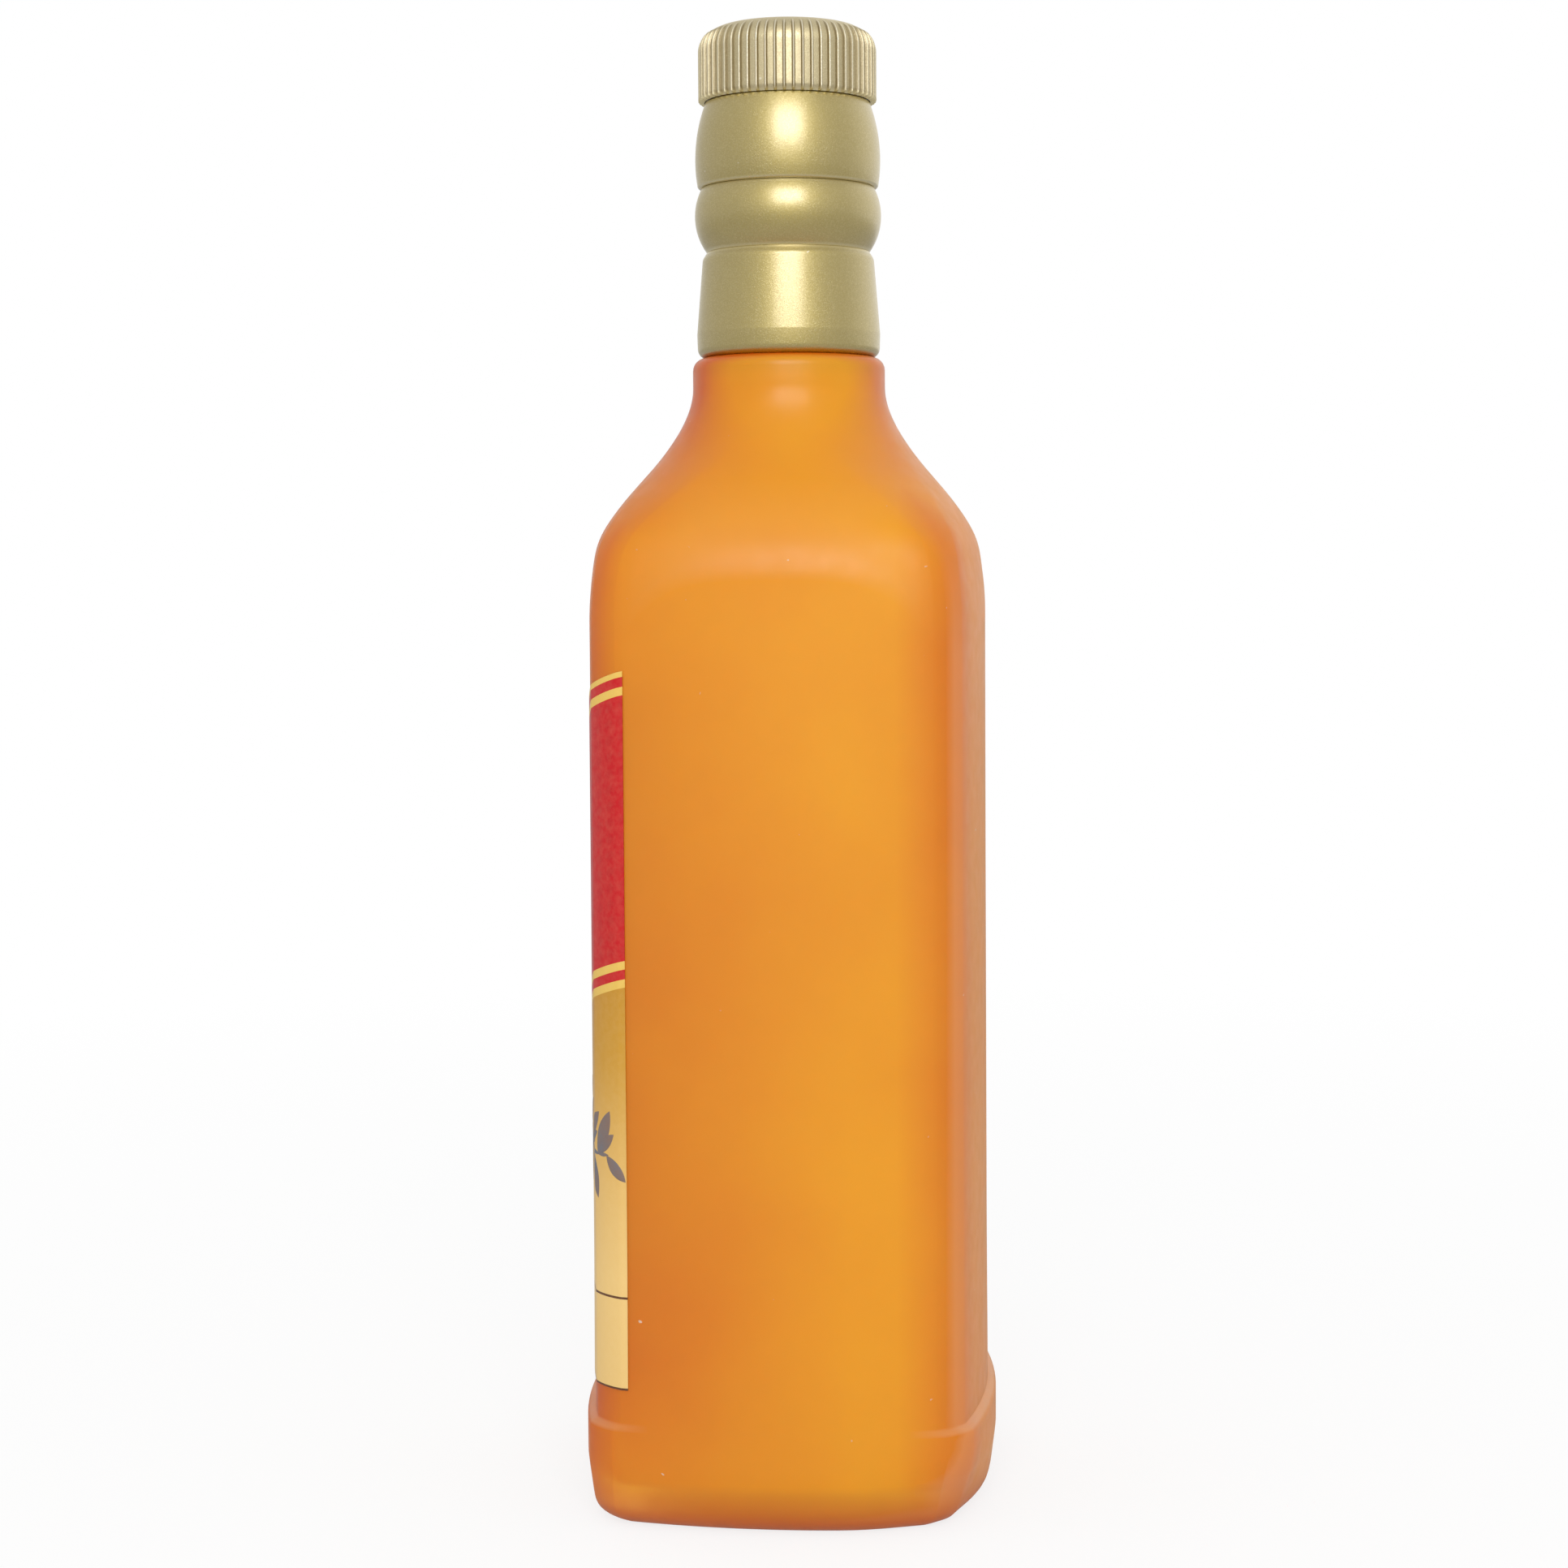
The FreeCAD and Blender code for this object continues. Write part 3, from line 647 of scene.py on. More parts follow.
@dataclass(frozen=True)
class LabelPrint:
    """Varnished paper: a red field between gold stripes over a panel that fades from gold to cream."""

    red: Colour = srgb(188, 18, 24)
    gold: Colour = srgb(220, 182, 86)
    line: Colour = srgb(92, 54, 30)
    figure: Colour = srgb(120, 18, 26)
    fibre: Colour = srgb(250, 226, 180)
    stripes: tuple[float, ...] = (0.0, 0.9, 2.4, 3.9, 48.1, 49.6, 51.2, 52.7)
    reach: float = 60.0
    rules: tuple[Point, ...] = ((24.0, 24.75), (39.95, 40.35))
    shades: tuple[Stop, ...] = (
        (24.4, srgb(224, 188, 118)), (43.0, srgb(226, 190, 120)), (58.0, srgb(218, 178, 104)),
        (80.0, srgb(194, 144, 50)), (94.0, srgb(186, 134, 40)),
    )
    top: float = 146.0
    lattice: float = 1.15
    lattice_fade: Fade = Fade(0.1, 0.5, 0.0, 0.09)
    fibres: Grain = Grain(900.0, 3.0, 0.6)
    fibre_fade: Fade = Fade(0.35, 0.7, 0.0, 0.04)
    patches: Grain = Grain(260.0)
    rough_fade: Fade = Fade(0.3, 0.7, 0.36, 0.46)
    pulp: Grain = Grain(700.0, 4.0, 0.65)
    pulp_relief: Point = (0.12, 0.05)
    varnish: float = 0.08
    varnish_rough: float = 0.25
    gloss: float = 0.25

    @property
    def field(self) -> Point:
        """Upper and lower end of the red field, measured down from the top edge."""
        return self.stripes[3], self.stripes[4]

    @staticmethod
    def within(g: Graph, value: Socket, band: Point) -> Socket:
        """Adds a value that is 1 where another one lies inside a band, and 0 elsewhere."""
        return g.product(g.sum("GREATER_THAN", value, band[0]), g.sum("LESS_THAN", value, band[1]))

    def bands(self) -> list[Stop]:
        """Lists the stripes from the top edge down; below them a cover of 0 leaves the panel bare."""
        colours = [self.red if number % 2 else self.gold for number in range(len(self.stripes) - 1)]
        bare = (0.0, 0.0, 0.0, 0.0)
        return [(drop / self.reach, colour) for drop, colour in zip(self.stripes, [*colours, bare])]

    def panel(self) -> list[Stop]:
        """Lists the shades of the fading panel as shares of the label's height."""
        low = self.shades[0][0]
        return [((height - low) / (self.top - low), colour) for height, colour in self.shades]

    def material(self) -> Material:
        """Makes the material."""
        g = Graph.finish("printed_label_paper")
        across, height, drop = g.split(g.attribute("label_flat"))
        place = g.spread(height, Fade(self.shades[0][0], self.top))
        colour = g.ramp(place, self.panel(), Blend.EVEN)[0]
        for rule in self.rules:
            colour = g.mix(self.within(g, height, rule), colour, self.line)
        stripes = g.ramp(g.sum("DIVIDE", drop, self.reach), self.bands(), Blend.HARD)
        colour = g.mix(stripes[1], colour, stripes[0])
        slants = [g.sum(kind, across, drop) for kind in ("ADD", "SUBTRACT")]
        lattice = g.product(*(g.sum("SINE", g.product(slant, self.lattice)) for slant in slants))
        figure = g.product(self.within(g, drop, self.field), g.spread(lattice, self.lattice_fade))
        colour = g.mix(figure, colour, self.figure)
        colour = g.mix(g.spread(g.noise(self.fibres), self.fibre_fade), colour, self.fibre)
        pulp = g.bump(g.noise(self.pulp), *self.pulp_relief)
        g.set(Base_Color=colour, Roughness=g.spread(g.noise(self.patches), self.rough_fade), Normal=pulp)
        g.set(Coat_Weight=self.varnish, Coat_Roughness=self.varnish_rough, Specular_IOR_Level=self.gloss)
        return g.owner


@dataclass(frozen=True)
class Foil:
    """Thin bright metal foil pressed onto the label."""

    base: Colour = srgb(238, 204, 122)
    shade: Colour = srgb(224, 184, 98)
    metal: float = 0.85
    cloud: Grain = Grain(420.0)
    cloud_fade: Fade = Fade(0.35, 0.7)
    rough_fade: Fade = Fade(0.0, 1.0, 0.28, 0.4)
    creases: Grain = Grain(900.0)
    crease_relief: Point = (0.15, 0.04)

    def material(self) -> Material:
        """Makes the material."""
        g = Graph.finish("pressed_foil")
        shade = g.spread(g.noise(self.cloud), self.cloud_fade)
        g.set(Base_Color=g.mix(shade, self.base, self.shade), Metallic=self.metal)
        g.set(Roughness=g.spread(shade, self.rough_fade))
        g.set(Normal=g.bump(g.noise(self.creases), *self.crease_relief))
        return g.owner


@dataclass(frozen=True)
class Moulded:
    """Moulded plastic, foam, bare paper or ink with a fine surface grain."""

    name: str
    base: Colour
    shade: Colour
    rough: float
    pores: float
    pore_rough: float = 0.6
    cloud: Grain = Grain(120.0, 4.0)
    cloud_fade: Fade = Fade(0.35, 0.7)
    pore_relief: Point = (0.2, 0.05)
    rough_fade: Fade = Fade(0.3, 0.7, -0.05, 0.06)
    inner_light: float = 0.08
    inner_depth: float = 2.0

    def material(self) -> Material:
        """Makes the material."""
        g = Graph.finish(self.name)
        pores = g.noise(Grain(self.pores, rough=self.pore_rough))
        cloud = g.spread(g.noise(self.cloud), self.cloud_fade)
        g.set(Base_Color=g.mix(cloud, self.base, self.shade), Normal=g.bump(pores, *self.pore_relief))
        g.set(Roughness=g.sum("ADD", g.spread(pores, self.rough_fade), self.rough))
        g.set(Subsurface_Weight=self.inner_light, Subsurface_Scale=self.inner_depth * MM)
        return g.owner


@dataclass
class GlassBottle:
    """The hollow square bottle, with its boot, shoulder, neck and threaded finish."""

    side_half: float = 35.9
    panel_half: float = 34.5
    face: float = 128.0
    corner: float = 6.2
    body_height: float = 148.7
    body_rows: int = 34
    shoulder_height: float = 44.8
    shoulder_rows: int = 60
    shoulder_power: float = 1.66
    shoulder_steep: float = 0.9
    bulge_power: float = 2.5
    corner_share: float = 0.848
    panel_rise: Point = (12.6, 6.0)
    panel_edge: float = 27.0
    panel_power: float = 4.0
    panel_blend: float = 9.0
    blend_loss: float = 0.65
    wall: float = 3.2
    wall_rows: int = 18
    floor: float = 7.0
    floor_round: float = 2.4
    floor_rows: int = 7
    floor_shares: tuple[float, ...] = (0.8, 0.55, 0.3, 0.0)
    punt_radius: float = 25.0
    punt_depth: float = 3.0
    punt_rows: int = 10
    ring_shares: Point = (0.35, 0.7)
    boot_height: float = 18.5
    boot_waist: float = 10.3
    boot_proud: float = 1.46
    boot_side_proud: float = 0.03
    boot_taper: float = 1.35
    boot_round: float = 2.2
    boot_rows: int = 9
    boot_blend: float = 1.6
    blend_rows: int = 26
    blend_soft: float = 0.08
    blend_end: Point = (17.8, 20.0)
    heel_round: float = 4.65
    heel_corner: float = 5.0
    heel_power: float = 1.2
    heel_rows: int = 12
    back_round: float = 2.0
    back_share: Point = (0.3, 0.85)
    back_heights: Point = (2.5, 15.0)
    neck: float = 16.75
    throat: float = 12.25
    throat_height: float = 6.0
    throat_round: float = 2.0
    ledge_height: float = 198.8
    ledge_round: float = 2.2
    ledge_fillet: float = 0.3
    core: float = 13.2
    core_top: float = 242.6
    finish: float = 12.2
    bore: float = 9.25
    lip_height: float = 251.15
    lip_round: float = 0.7
    thread_start: float = 244.0
    thread_pitch: float = 3.0
    thread_turns: float = 1.75
    thread_depth: float = 0.8
    thread_root: float = 0.6
    thread_crest: float = 0.3
    thread_runout: float = 0.08
    thread_below: float = 0.1
    thread_step: float = 0.13
    trims: tuple[Point, ...] = (
        (22.0, 0.0), (45.0, -0.15), (110.0, -0.3), (150.0, -0.36), (160.0, -0.34), (163.0, -0.2),
        (165.0, 0.05), (167.0, 0.25), (169.0, 0.1), (171.0, -0.15), (174.0, -0.48), (178.5, -0.92),
        (181.0, -0.92), (183.5, -0.65), (186.5, -0.3), (190.0, 0.05), (193.0, 0.0),
    )
    trim_reach: float = 2.4
    trim_steps: int = 13

    @property
    def plan(self) -> Section:
        """Outline of the straight body."""
        return Section(self.side_half, self.panel_half, self.face, self.corner)

    @property
    def neck_height(self) -> float:
        """Height where the shoulder ends."""
        return self.body_height + self.shoulder_height

    def trim(self, height: np.ndarray | float) -> np.ndarray | float:
        """Gives how far the glass stands out, or draws in if below 0, at a height or at each of many."""
        heights, depths = zip(*self.trims)
        near = np.linspace(-self.trim_reach, self.trim_reach, self.trim_steps)
        return np.interp(np.asarray(height)[..., None] + near, heights, depths).mean(-1)

    def shoulder(self, rise: float, inset: float, end: float) -> Section:
        """Draws the shoulder's outline, from the square body to the round neck.

        Args:
            rise: Share of the shoulder's height, below 1.
            inset: How far inside the outer body the outline starts.
            end: Radius of the ring that it ends in.

        Returns:
            The outline.
        """
        turn = rise ** self.shoulder_power
        steeper = self.shoulder_steep * turn ** 2 * (1.0 - turn) ** 2 * (2.0 * turn - 1.0)
        square = 1.0 - smooth(turn, 0.0, 1.0) - steeper
        bulge = square ** self.bulge_power
        start = self.plan.grown(-inset)
        mean = (start.half_x + start.half_y) / 2.0
        skew = (start.half_x - start.half_y) / 2.0 * bulge
        half = end + (mean - end) * square
        spread = (start.face - mean) * bulge
        drawn = (mean - start.corner) * bulge * square + spread * (1.0 - square) * self.corner_share
        return Section(half + skew, half - skew, half + spread, half - drawn)

    def shoulder_rings(self, inset: float, end: float) -> list[np.ndarray]:
        """Lists the shoulder's rings from the body up to the neck.

        Args:
            inset: How far inside the outer body the shoulder starts; 0 for the outside.
            end: Radius of the ring that it ends in.

        Returns:
            The rings.
        """
        rings = []
        for rise in np.linspace(0.0, 1.0, self.shoulder_rows + 1)[1:-1]:
            section = self.shoulder(rise, inset, end)
            rings.append(section.ring(self.body_height + self.shoulder_height * rise))
            if inset == 0.0:
                self.carry_panels(rings[-1], section)
        return [*rings, round_ring(end, self.neck_height)]

    def carry_panels(self, ring: np.ndarray, section: Section) -> None:
        """Carries the flat panels up into the shoulder, where each ends in a soft arched crease.

        Args:
            ring: Points of the ring, which are moved outwards in place.
            section: Outline that the ring was made from.
        """
        steps = FACE_STEPS + CORNER_STEPS
        for side in range(4):
            face = slice(side * steps, side * steps + FACE_STEPS + 1)
            axis = side % 2
            fall = (self.plan.half_x - section.half_x, self.plan.half_y - section.half_y)[axis]
            across = np.minimum(np.abs(ring[face, 1 - axis]) / self.panel_edge, 1.0)
            arch = self.body_height + self.panel_rise[axis] * (1.0 - across ** self.panel_power)
            blend = self.panel_blend * (1.0 - self.blend_loss * across ** 2)
            left = np.clip(1.0 - (ring[0, 2] - arch) / blend, 0.0, 1.0)
            ring[face, axis] += np.sign(ring[face, axis]) * fall * left ** 2

    def boot(self, height: float) -> Section:
        """Outline of the boot at a height, its taper taken in."""
        taper = self.boot_taper * max(0.0, 1.0 - height / self.boot_waist)
        half_x, half_y = self.side_half + self.boot_side_proud, self.panel_half + self.boot_proud
        return Section(half_x, half_y, self.face, self.corner).grown(-taper)

    def softened(self, ring: np.ndarray) -> np.ndarray:
        """Draws a ring of the boot in at its two back corners, which are rounder than the front ones.

        Args:
            ring: Points of the ring.

        Returns:
            The drawn-in ring.
        """
        near = np.minimum(np.abs(ring[:, 0]), ring[:, 1]) / self.panel_half
        left = 1.0 - smooth(ring[0, 2], *self.back_heights)
        drawn = self.back_round * left * smooth(near, *self.back_share) / self.panel_half
        return ring * np.column_stack([1.0 - drawn, 1.0 - drawn, np.ones(len(ring))])

    def foot_rings(self) -> list[np.ndarray]:
        """Lists the rings from under the foot up to the straight body."""
        shares = np.linspace(0.0, 1.0, self.punt_rows)
        rings = [round_ring(self.punt_radius * k, self.punt_depth * (1.0 - k * k)) for k in shares]
        heel = []
        for angle in np.linspace(0.0, math.pi / 2.0, self.heel_rows):
            height = self.heel_round * (1.0 - math.cos(angle))
            inner = 1.0 - math.sin(angle)
            flat = self.boot(height).grown(-self.heel_round * inner)
            corner = flat.corner + self.heel_corner * inner ** self.heel_power
            heel.append(self.softened(Section(flat.half_x, flat.half_y, flat.face, corner).ring(height)))
        rings += [rings[-1] + (heel[0] - rings[-1]) * share for share in self.ring_shares]
        rings += heel
        start = self.boot_height - self.boot_round
        for height in np.linspace(self.heel_round, start, self.boot_rows)[1:]:
            rings.append(self.softened(self.boot(height).ring(height)))
        for height in np.linspace(start, self.boot_height + self.boot_blend, self.blend_rows)[1:]:
            up = min(1.0, (height - start) / self.boot_round)
            left = 1.0 - self.boot_round * (1.0 - math.sqrt(1.0 - up * up)) / self.boot_proud
            share = (left + math.hypot(left, self.blend_soft)) / 2.0 * (1.0 - smooth(height, *self.blend_end))
            rings.append(self.plan.mixed(self.boot(height), float(share)).ring(height))
        return rings

    def thread(self, height: float) -> np.ndarray:
        """Gives the finish's radius at each point of a ring, with the thread on it.

        Args:
            height: Height of the ring.

        Returns:
            One radius for each point.
        """
        angles = np.mod(round_angles(), 2.0 * math.pi) / (2.0 * math.pi)
        reach = np.zeros_like(angles)
        for turn in range(math.ceil(self.thread_turns)):
            along = angles + turn
            off = np.abs(height - self.thread_start - self.thread_pitch * along)
            ridge = np.clip((self.thread_root - off) / (self.thread_root - self.thread_crest), 0.0, 1.0)
            end = smooth(along, self.thread_turns - self.thread_runout, self.thread_turns)
            reach = np.maximum(reach, ridge * smooth(along, 0.0, self.thread_runout) * (1.0 - end))
        return self.finish + self.thread_depth * reach

    def neck_rings(self) -> list[np.ndarray]:
        """Lists the rings from the neck up over the lip and down the bore to the throat."""
        bead = rounded([
            (self.neck, self.neck_height, 0.0), (self.neck, self.ledge_height, self.ledge_round),
            (self.core, self.ledge_height, self.ledge_fillet), (self.core, self.core_top, 0.0),
            (self.finish, self.core_top, 0.0),
        ])
        top = self.lip_height - self.lip_round
        lip = rounded([
            (self.finish, top, 0.0), (self.finish, self.lip_height, self.lip_round),
            (self.bore, self.lip_height, self.lip_round),
            (self.bore, self.neck_height + self.throat_height, self.throat_round),
            (self.throat, self.neck_height, 0.0),
        ])
        heights = np.arange(self.core_top + self.thread_below, top, self.thread_step)
        rings = [round_ring(radius, height) for radius, height in bead]
        rings += [round_ring(self.thread(height), height) for height in heights]
        return rings + [round_ring(radius, height) for radius, height in lip[1:]]

    def inner_rings(self) -> list[np.ndarray]:
        """Lists the rings inside, from the throat down to the middle of the floor."""
        plan = self.plan.grown(-self.wall)
        low = self.floor + self.floor_round
        rings = self.shoulder_rings(self.wall, self.throat)[-2::-1]
        rings += [plan.ring(height) for height in np.linspace(self.body_height, low, self.wall_rows)]
        for angle in np.linspace(0.0, math.pi / 2.0, self.floor_rows)[1:]:
            draw = self.floor_round * (1.0 - math.cos(angle))
            rings.append(plan.grown(-draw).ring(low - self.floor_round * math.sin(angle)))
        edge, middle = rings[-1], np.array([0.0, 0.0, self.floor])
        return rings + [middle + (edge - middle) * share for share in self.floor_shares]

    def build(self) -> Piece:
        """Builds the bottle as one closed skin, outside and inside."""
        rings = self.foot_rings()
        heights = np.linspace(self.boot_height + self.boot_blend, self.body_height, self.body_rows)[1:]
        rings += [self.plan.ring(height) for height in heights]
        rings += self.shoulder_rings(0.0, self.neck)
        for ring in rings:
            for axis in range(2):
                ring[:, axis] *= 1.0 + self.trim(ring[0, 2]) / max(ring[:, axis].max(), 1.0)
        rings += self.neck_rings()[1:] + self.inner_rings()
        obj = mesh_object("bottle_glass", *closed(rings, Ends.POLES))
        dress(obj, AmberGlass(self).material())
        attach(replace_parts(obj, "bottle_shell"), "bottle")
        return obj


@dataclass(frozen=True)
class Leaf:
    """A pointed leaf of the print."""

    length: float
    width: float
    fullness: float = 0.85
    steps: int = 12

    def outline(self, stalk: Point, angle: float) -> Shape:
        """Draws the leaf on the flat label.

        Args:
            stalk: Place of its stalk.
            angle: Way that it points, in degrees from level.

        Returns:
            Its outline.
        """
        shares = np.linspace(0.0, 1.0, self.steps + 1)
        edge = [(self.length * k, self.width / 2.0 * math.sin(math.pi * k) ** self.fullness) for k in shares]
        edge += [(x, -y) for x, y in edge[-2:0:-1]]
        cos, sin = math.cos(math.radians(angle)), math.sin(math.radians(angle))
        return [(stalk[0] + x * cos - y * sin, stalk[1] + x * sin + y * cos) for x, y in edge]


@dataclass(frozen=True)
class Wreath:
    """A drop in a wreath of leaves, for the red field."""

    height: float = 110.5
    radius: float = 13.0
    start: float = -80.0
    turn: float = 17.5
    pairs: int = 9
    leans: Point = (52.0, 122.0)
    leaf: Leaf = Leaf(5.4, 1.9)
    drop_height: float = 110.0
    drop_width: float = 3.5
    drop_half: float = 6.2
    drop_steps: int = 40

    def outlines(self) -> list[Shape]:
        """Lists the outlines of the leaves and the drop on the flat label."""
        shapes = []
        for side in (-1.0, 1.0):
            for number in range(self.pairs):
                turn = self.start + self.turn * number
                spot = math.radians(turn)
                stalk = (self.radius * math.cos(spot), self.height + self.radius * math.sin(spot))
                for lean in self.leans:
                    shapes.append([(side * x, z) for x, z in self.leaf.outline(stalk, turn + lean)])
        angles = np.linspace(0.0, 2.0 * math.pi, self.drop_steps, endpoint=False)
        across = self.drop_width * np.sin(angles) * np.sin(angles / 2.0)
        return [*shapes, list(zip(across, self.drop_height + self.drop_half * np.cos(angles)))]


@dataclass(frozen=True)
class Garland:
    """A waving stem with a leaf on each side of every joint, for the panel below the red field."""

    half: float = 32.6
    joints: int = 24
    height: float = 67.0
    wave: float = 3.0
    wave_reach: float = 6.5
    stem: Leaf = Leaf(3.4, 0.7)
    large: Leaf = Leaf(8.6, 3.0)
    large_lean: float = 62.0
    small: Leaf = Leaf(6.0, 2.2)
    small_lean: float = 48.0

    def outlines(self) -> list[Shape]:
        """Lists the outlines of the stem's stretches and the leaves on the flat label."""
        shapes = []
        spots = np.linspace(-self.half, self.half, self.joints + 1).tolist()
        joints = [(x, self.height + self.wave * math.sin(x / self.wave_reach)) for x in spots]
        for number, (start, end) in enumerate(zip(joints, joints[1:])):
            angle = math.degrees(math.atan2(end[1] - start[1], end[0] - start[0]))
            side = 1.0 if number % 2 else -1.0
            shapes.append(self.stem.outline(start, angle))
            shapes.append(self.large.outline(start, angle + self.large_lean * side))
            shapes.append(self.small.outline(end, angle - self.small_lean * side))
        return shapes


@dataclass
class FrontLabel:
    """The paper label that wraps the front and both front corners, with the foil and ink printed on it."""

    glass: GlassBottle
    glue: float = 0.05
    paper: float = 0.15
    bottom: float = 24.4
    apex: float = 132.6
    slope: float = 12.0 / 35.9
    axis: float = 45.0
    setback: float = 9.2
    rows: int = 72
    columns: int = 220
    path_face: int = 400
    path_corner: int = 120
    back: Moulded = Moulded("label_back_paper", srgb(226, 214, 192), srgb(214, 200, 176), 0.7, 900.0)
    wreath: Wreath = Wreath()
    garland: Garland = Garland()
    ink: Moulded = Moulded("slate_ink", srgb(104, 108, 118), srgb(140, 98, 62), 0.5, 1600.0)
    print_lift: float = 0.03
    print_crease: float = 60.0
    dome: tuple[Point, ...] = (
        (0.0, -0.5), (1.0, -0.5), (0.96, 1.0), (0.72, 1.6), (0.48, 2.0), (0.24, 2.2), (0.0, 2.3),
    )

    def path(self, lift: float) -> np.ndarray:
        """Walks along the label in plan, from the side at -X round the front to the side at +X.

        Args:
            lift: How far outside the glass.

        Returns:
            Points in plan, evenly spaced, and their distances along the label from its middle.
        """
        outline = self.glass.plan.grown(lift).points(self.path_face, self.path_corner)
        start = 2 * (self.path_face + self.path_corner) + self.path_face // 2
        outline = np.roll(outline, -start, axis=0)
        inside = outline[outline[:, 1] < self.setback - self.glass.panel_half]
        along = np.concatenate([[0.0], np.cumsum(np.linalg.norm(np.diff(inside, axis=0), axis=1))])
        even = np.linspace(0.0, along[-1], self.columns)
        plan = [np.interp(even, along, inside[:, axis]) for axis in (0, 1)]
        return np.column_stack([*plan, even - even[-1] / 2.0])

    def fitted(self, across: np.ndarray, deep: np.ndarray, height: np.ndarray) -> np.ndarray:
        """Draws points in or out with the glass under them.

        Args:
            across: X of each point on the straight body.
            deep: Y of each point on the straight body.
            height: Height of each point.

        Returns:
            The points in space.
        """
        drawn = self.glass.trim(height)
        wide, far = 1.0 + drawn / self.glass.side_half, 1.0 + drawn / self.glass.panel_half
        return np.stack([across * wide, deep * far, height], axis=-1)

    def sheet(self, lift: float) -> np.ndarray:
        """Places one side of the paper.

        Args:
            lift: How far outside the glass.

        Returns:
            For each column and row: X, Y, height, distance along, and distance below the top edge.
        """
        across, deep, along = (part[:, None] for part in self.path(lift).T)
        top = self.apex + self.slope * np.hypot(across, deep + self.axis)
        height = self.bottom + (top - self.bottom) * np.linspace(0.0, 1.0, self.rows)
        flat = np.stack([np.broadcast_to(along, height.shape), top - height], axis=-1)
        return np.concatenate([self.fitted(across, deep, height), flat], axis=-1)

    def build_sheet(self) -> Piece:
        """Builds the paper as a thin closed sheet, printed outside and bare on its back."""
        outer, inner = self.sheet(self.glue + self.paper), self.sheet(self.glue)
        loops = [np.concatenate([front, back[::-1]]) for front, back in zip(outer, inner)]
        first, last = (np.broadcast_to(loop.mean(0), loop.shape) for loop in (loops[0], loops[-1]))
        rings = [ring[:, :3] for ring in (first, *loops, last)]
        obj = mesh_object("label_paper", *closed(rings, Ends.POLES))
        flat = np.concatenate([*loops, first[:1], last[:1]])[:, [3, 2, 4]]
        attribute = obj.data.attributes.new("label_flat", "FLOAT_VECTOR", "POINT")
        attribute.data.foreach_set("vector", flat.astype(np.float32).ravel())
        dress(obj, LabelPrint().material())
        obj.data.materials.append(self.back.material())
        around = 2 * self.rows
        for face in obj.data.polygons[:(self.columns - 1) * around]:
            face.material_index = int(self.rows <= face.index % around < around - 1)
        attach(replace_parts(obj, "front_label"), "bottle")
        return obj

    def place(self, outline: np.ndarray, lift: float) -> np.ndarray:
        """Wraps points of the flat label round the bottle.

        Args:
            outline: Distance along from the middle and height of each point.
            lift: How far outside the paper.

        Returns:
            The points in space.
        """
        across, deep, along = self.path(self.glue + self.paper + lift).T
        spots, height = outline.T
        return self.fitted(np.interp(spots, along, across), np.interp(spots, along, deep), height)

    def build_print(self, name: str, shapes: list[Shape], material: Material) -> Piece:
        """Builds printed shapes as low closed domes that follow the label.

        Args:
            name: Name of the new object.
            shapes: Outlines on the flat label.
            material: The material that they show.

        Returns:
            The new object.
        """
        points = np.empty((0, 3))
        faces: Faces = []
        for shape in shapes:
            outline, middle = np.array(shape), np.mean(shape, axis=0)
            spread = outline - middle
            rings = [self.place(middle + spread * k, self.print_lift * lift) for k, lift in self.dome]
            more, sides = closed(rings, Ends.POLES)
            faces += [[len(points) + number for number in side] for side in sides]
            points = np.concatenate([points, more])
        obj = mesh_object(name, points, faces, self.print_crease)
        dress(obj, material)
        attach(obj, "bottle")
        return obj

    def build(self) -> list[Piece]:
        """Builds the paper and the two prints on it."""
        return [
            self.build_sheet(),
            self.build_print("label_foil", self.wreath.outlines(), Foil().material()),
            self.build_print("label_ink", self.garland.outlines(), self.ink.material()),
        ]


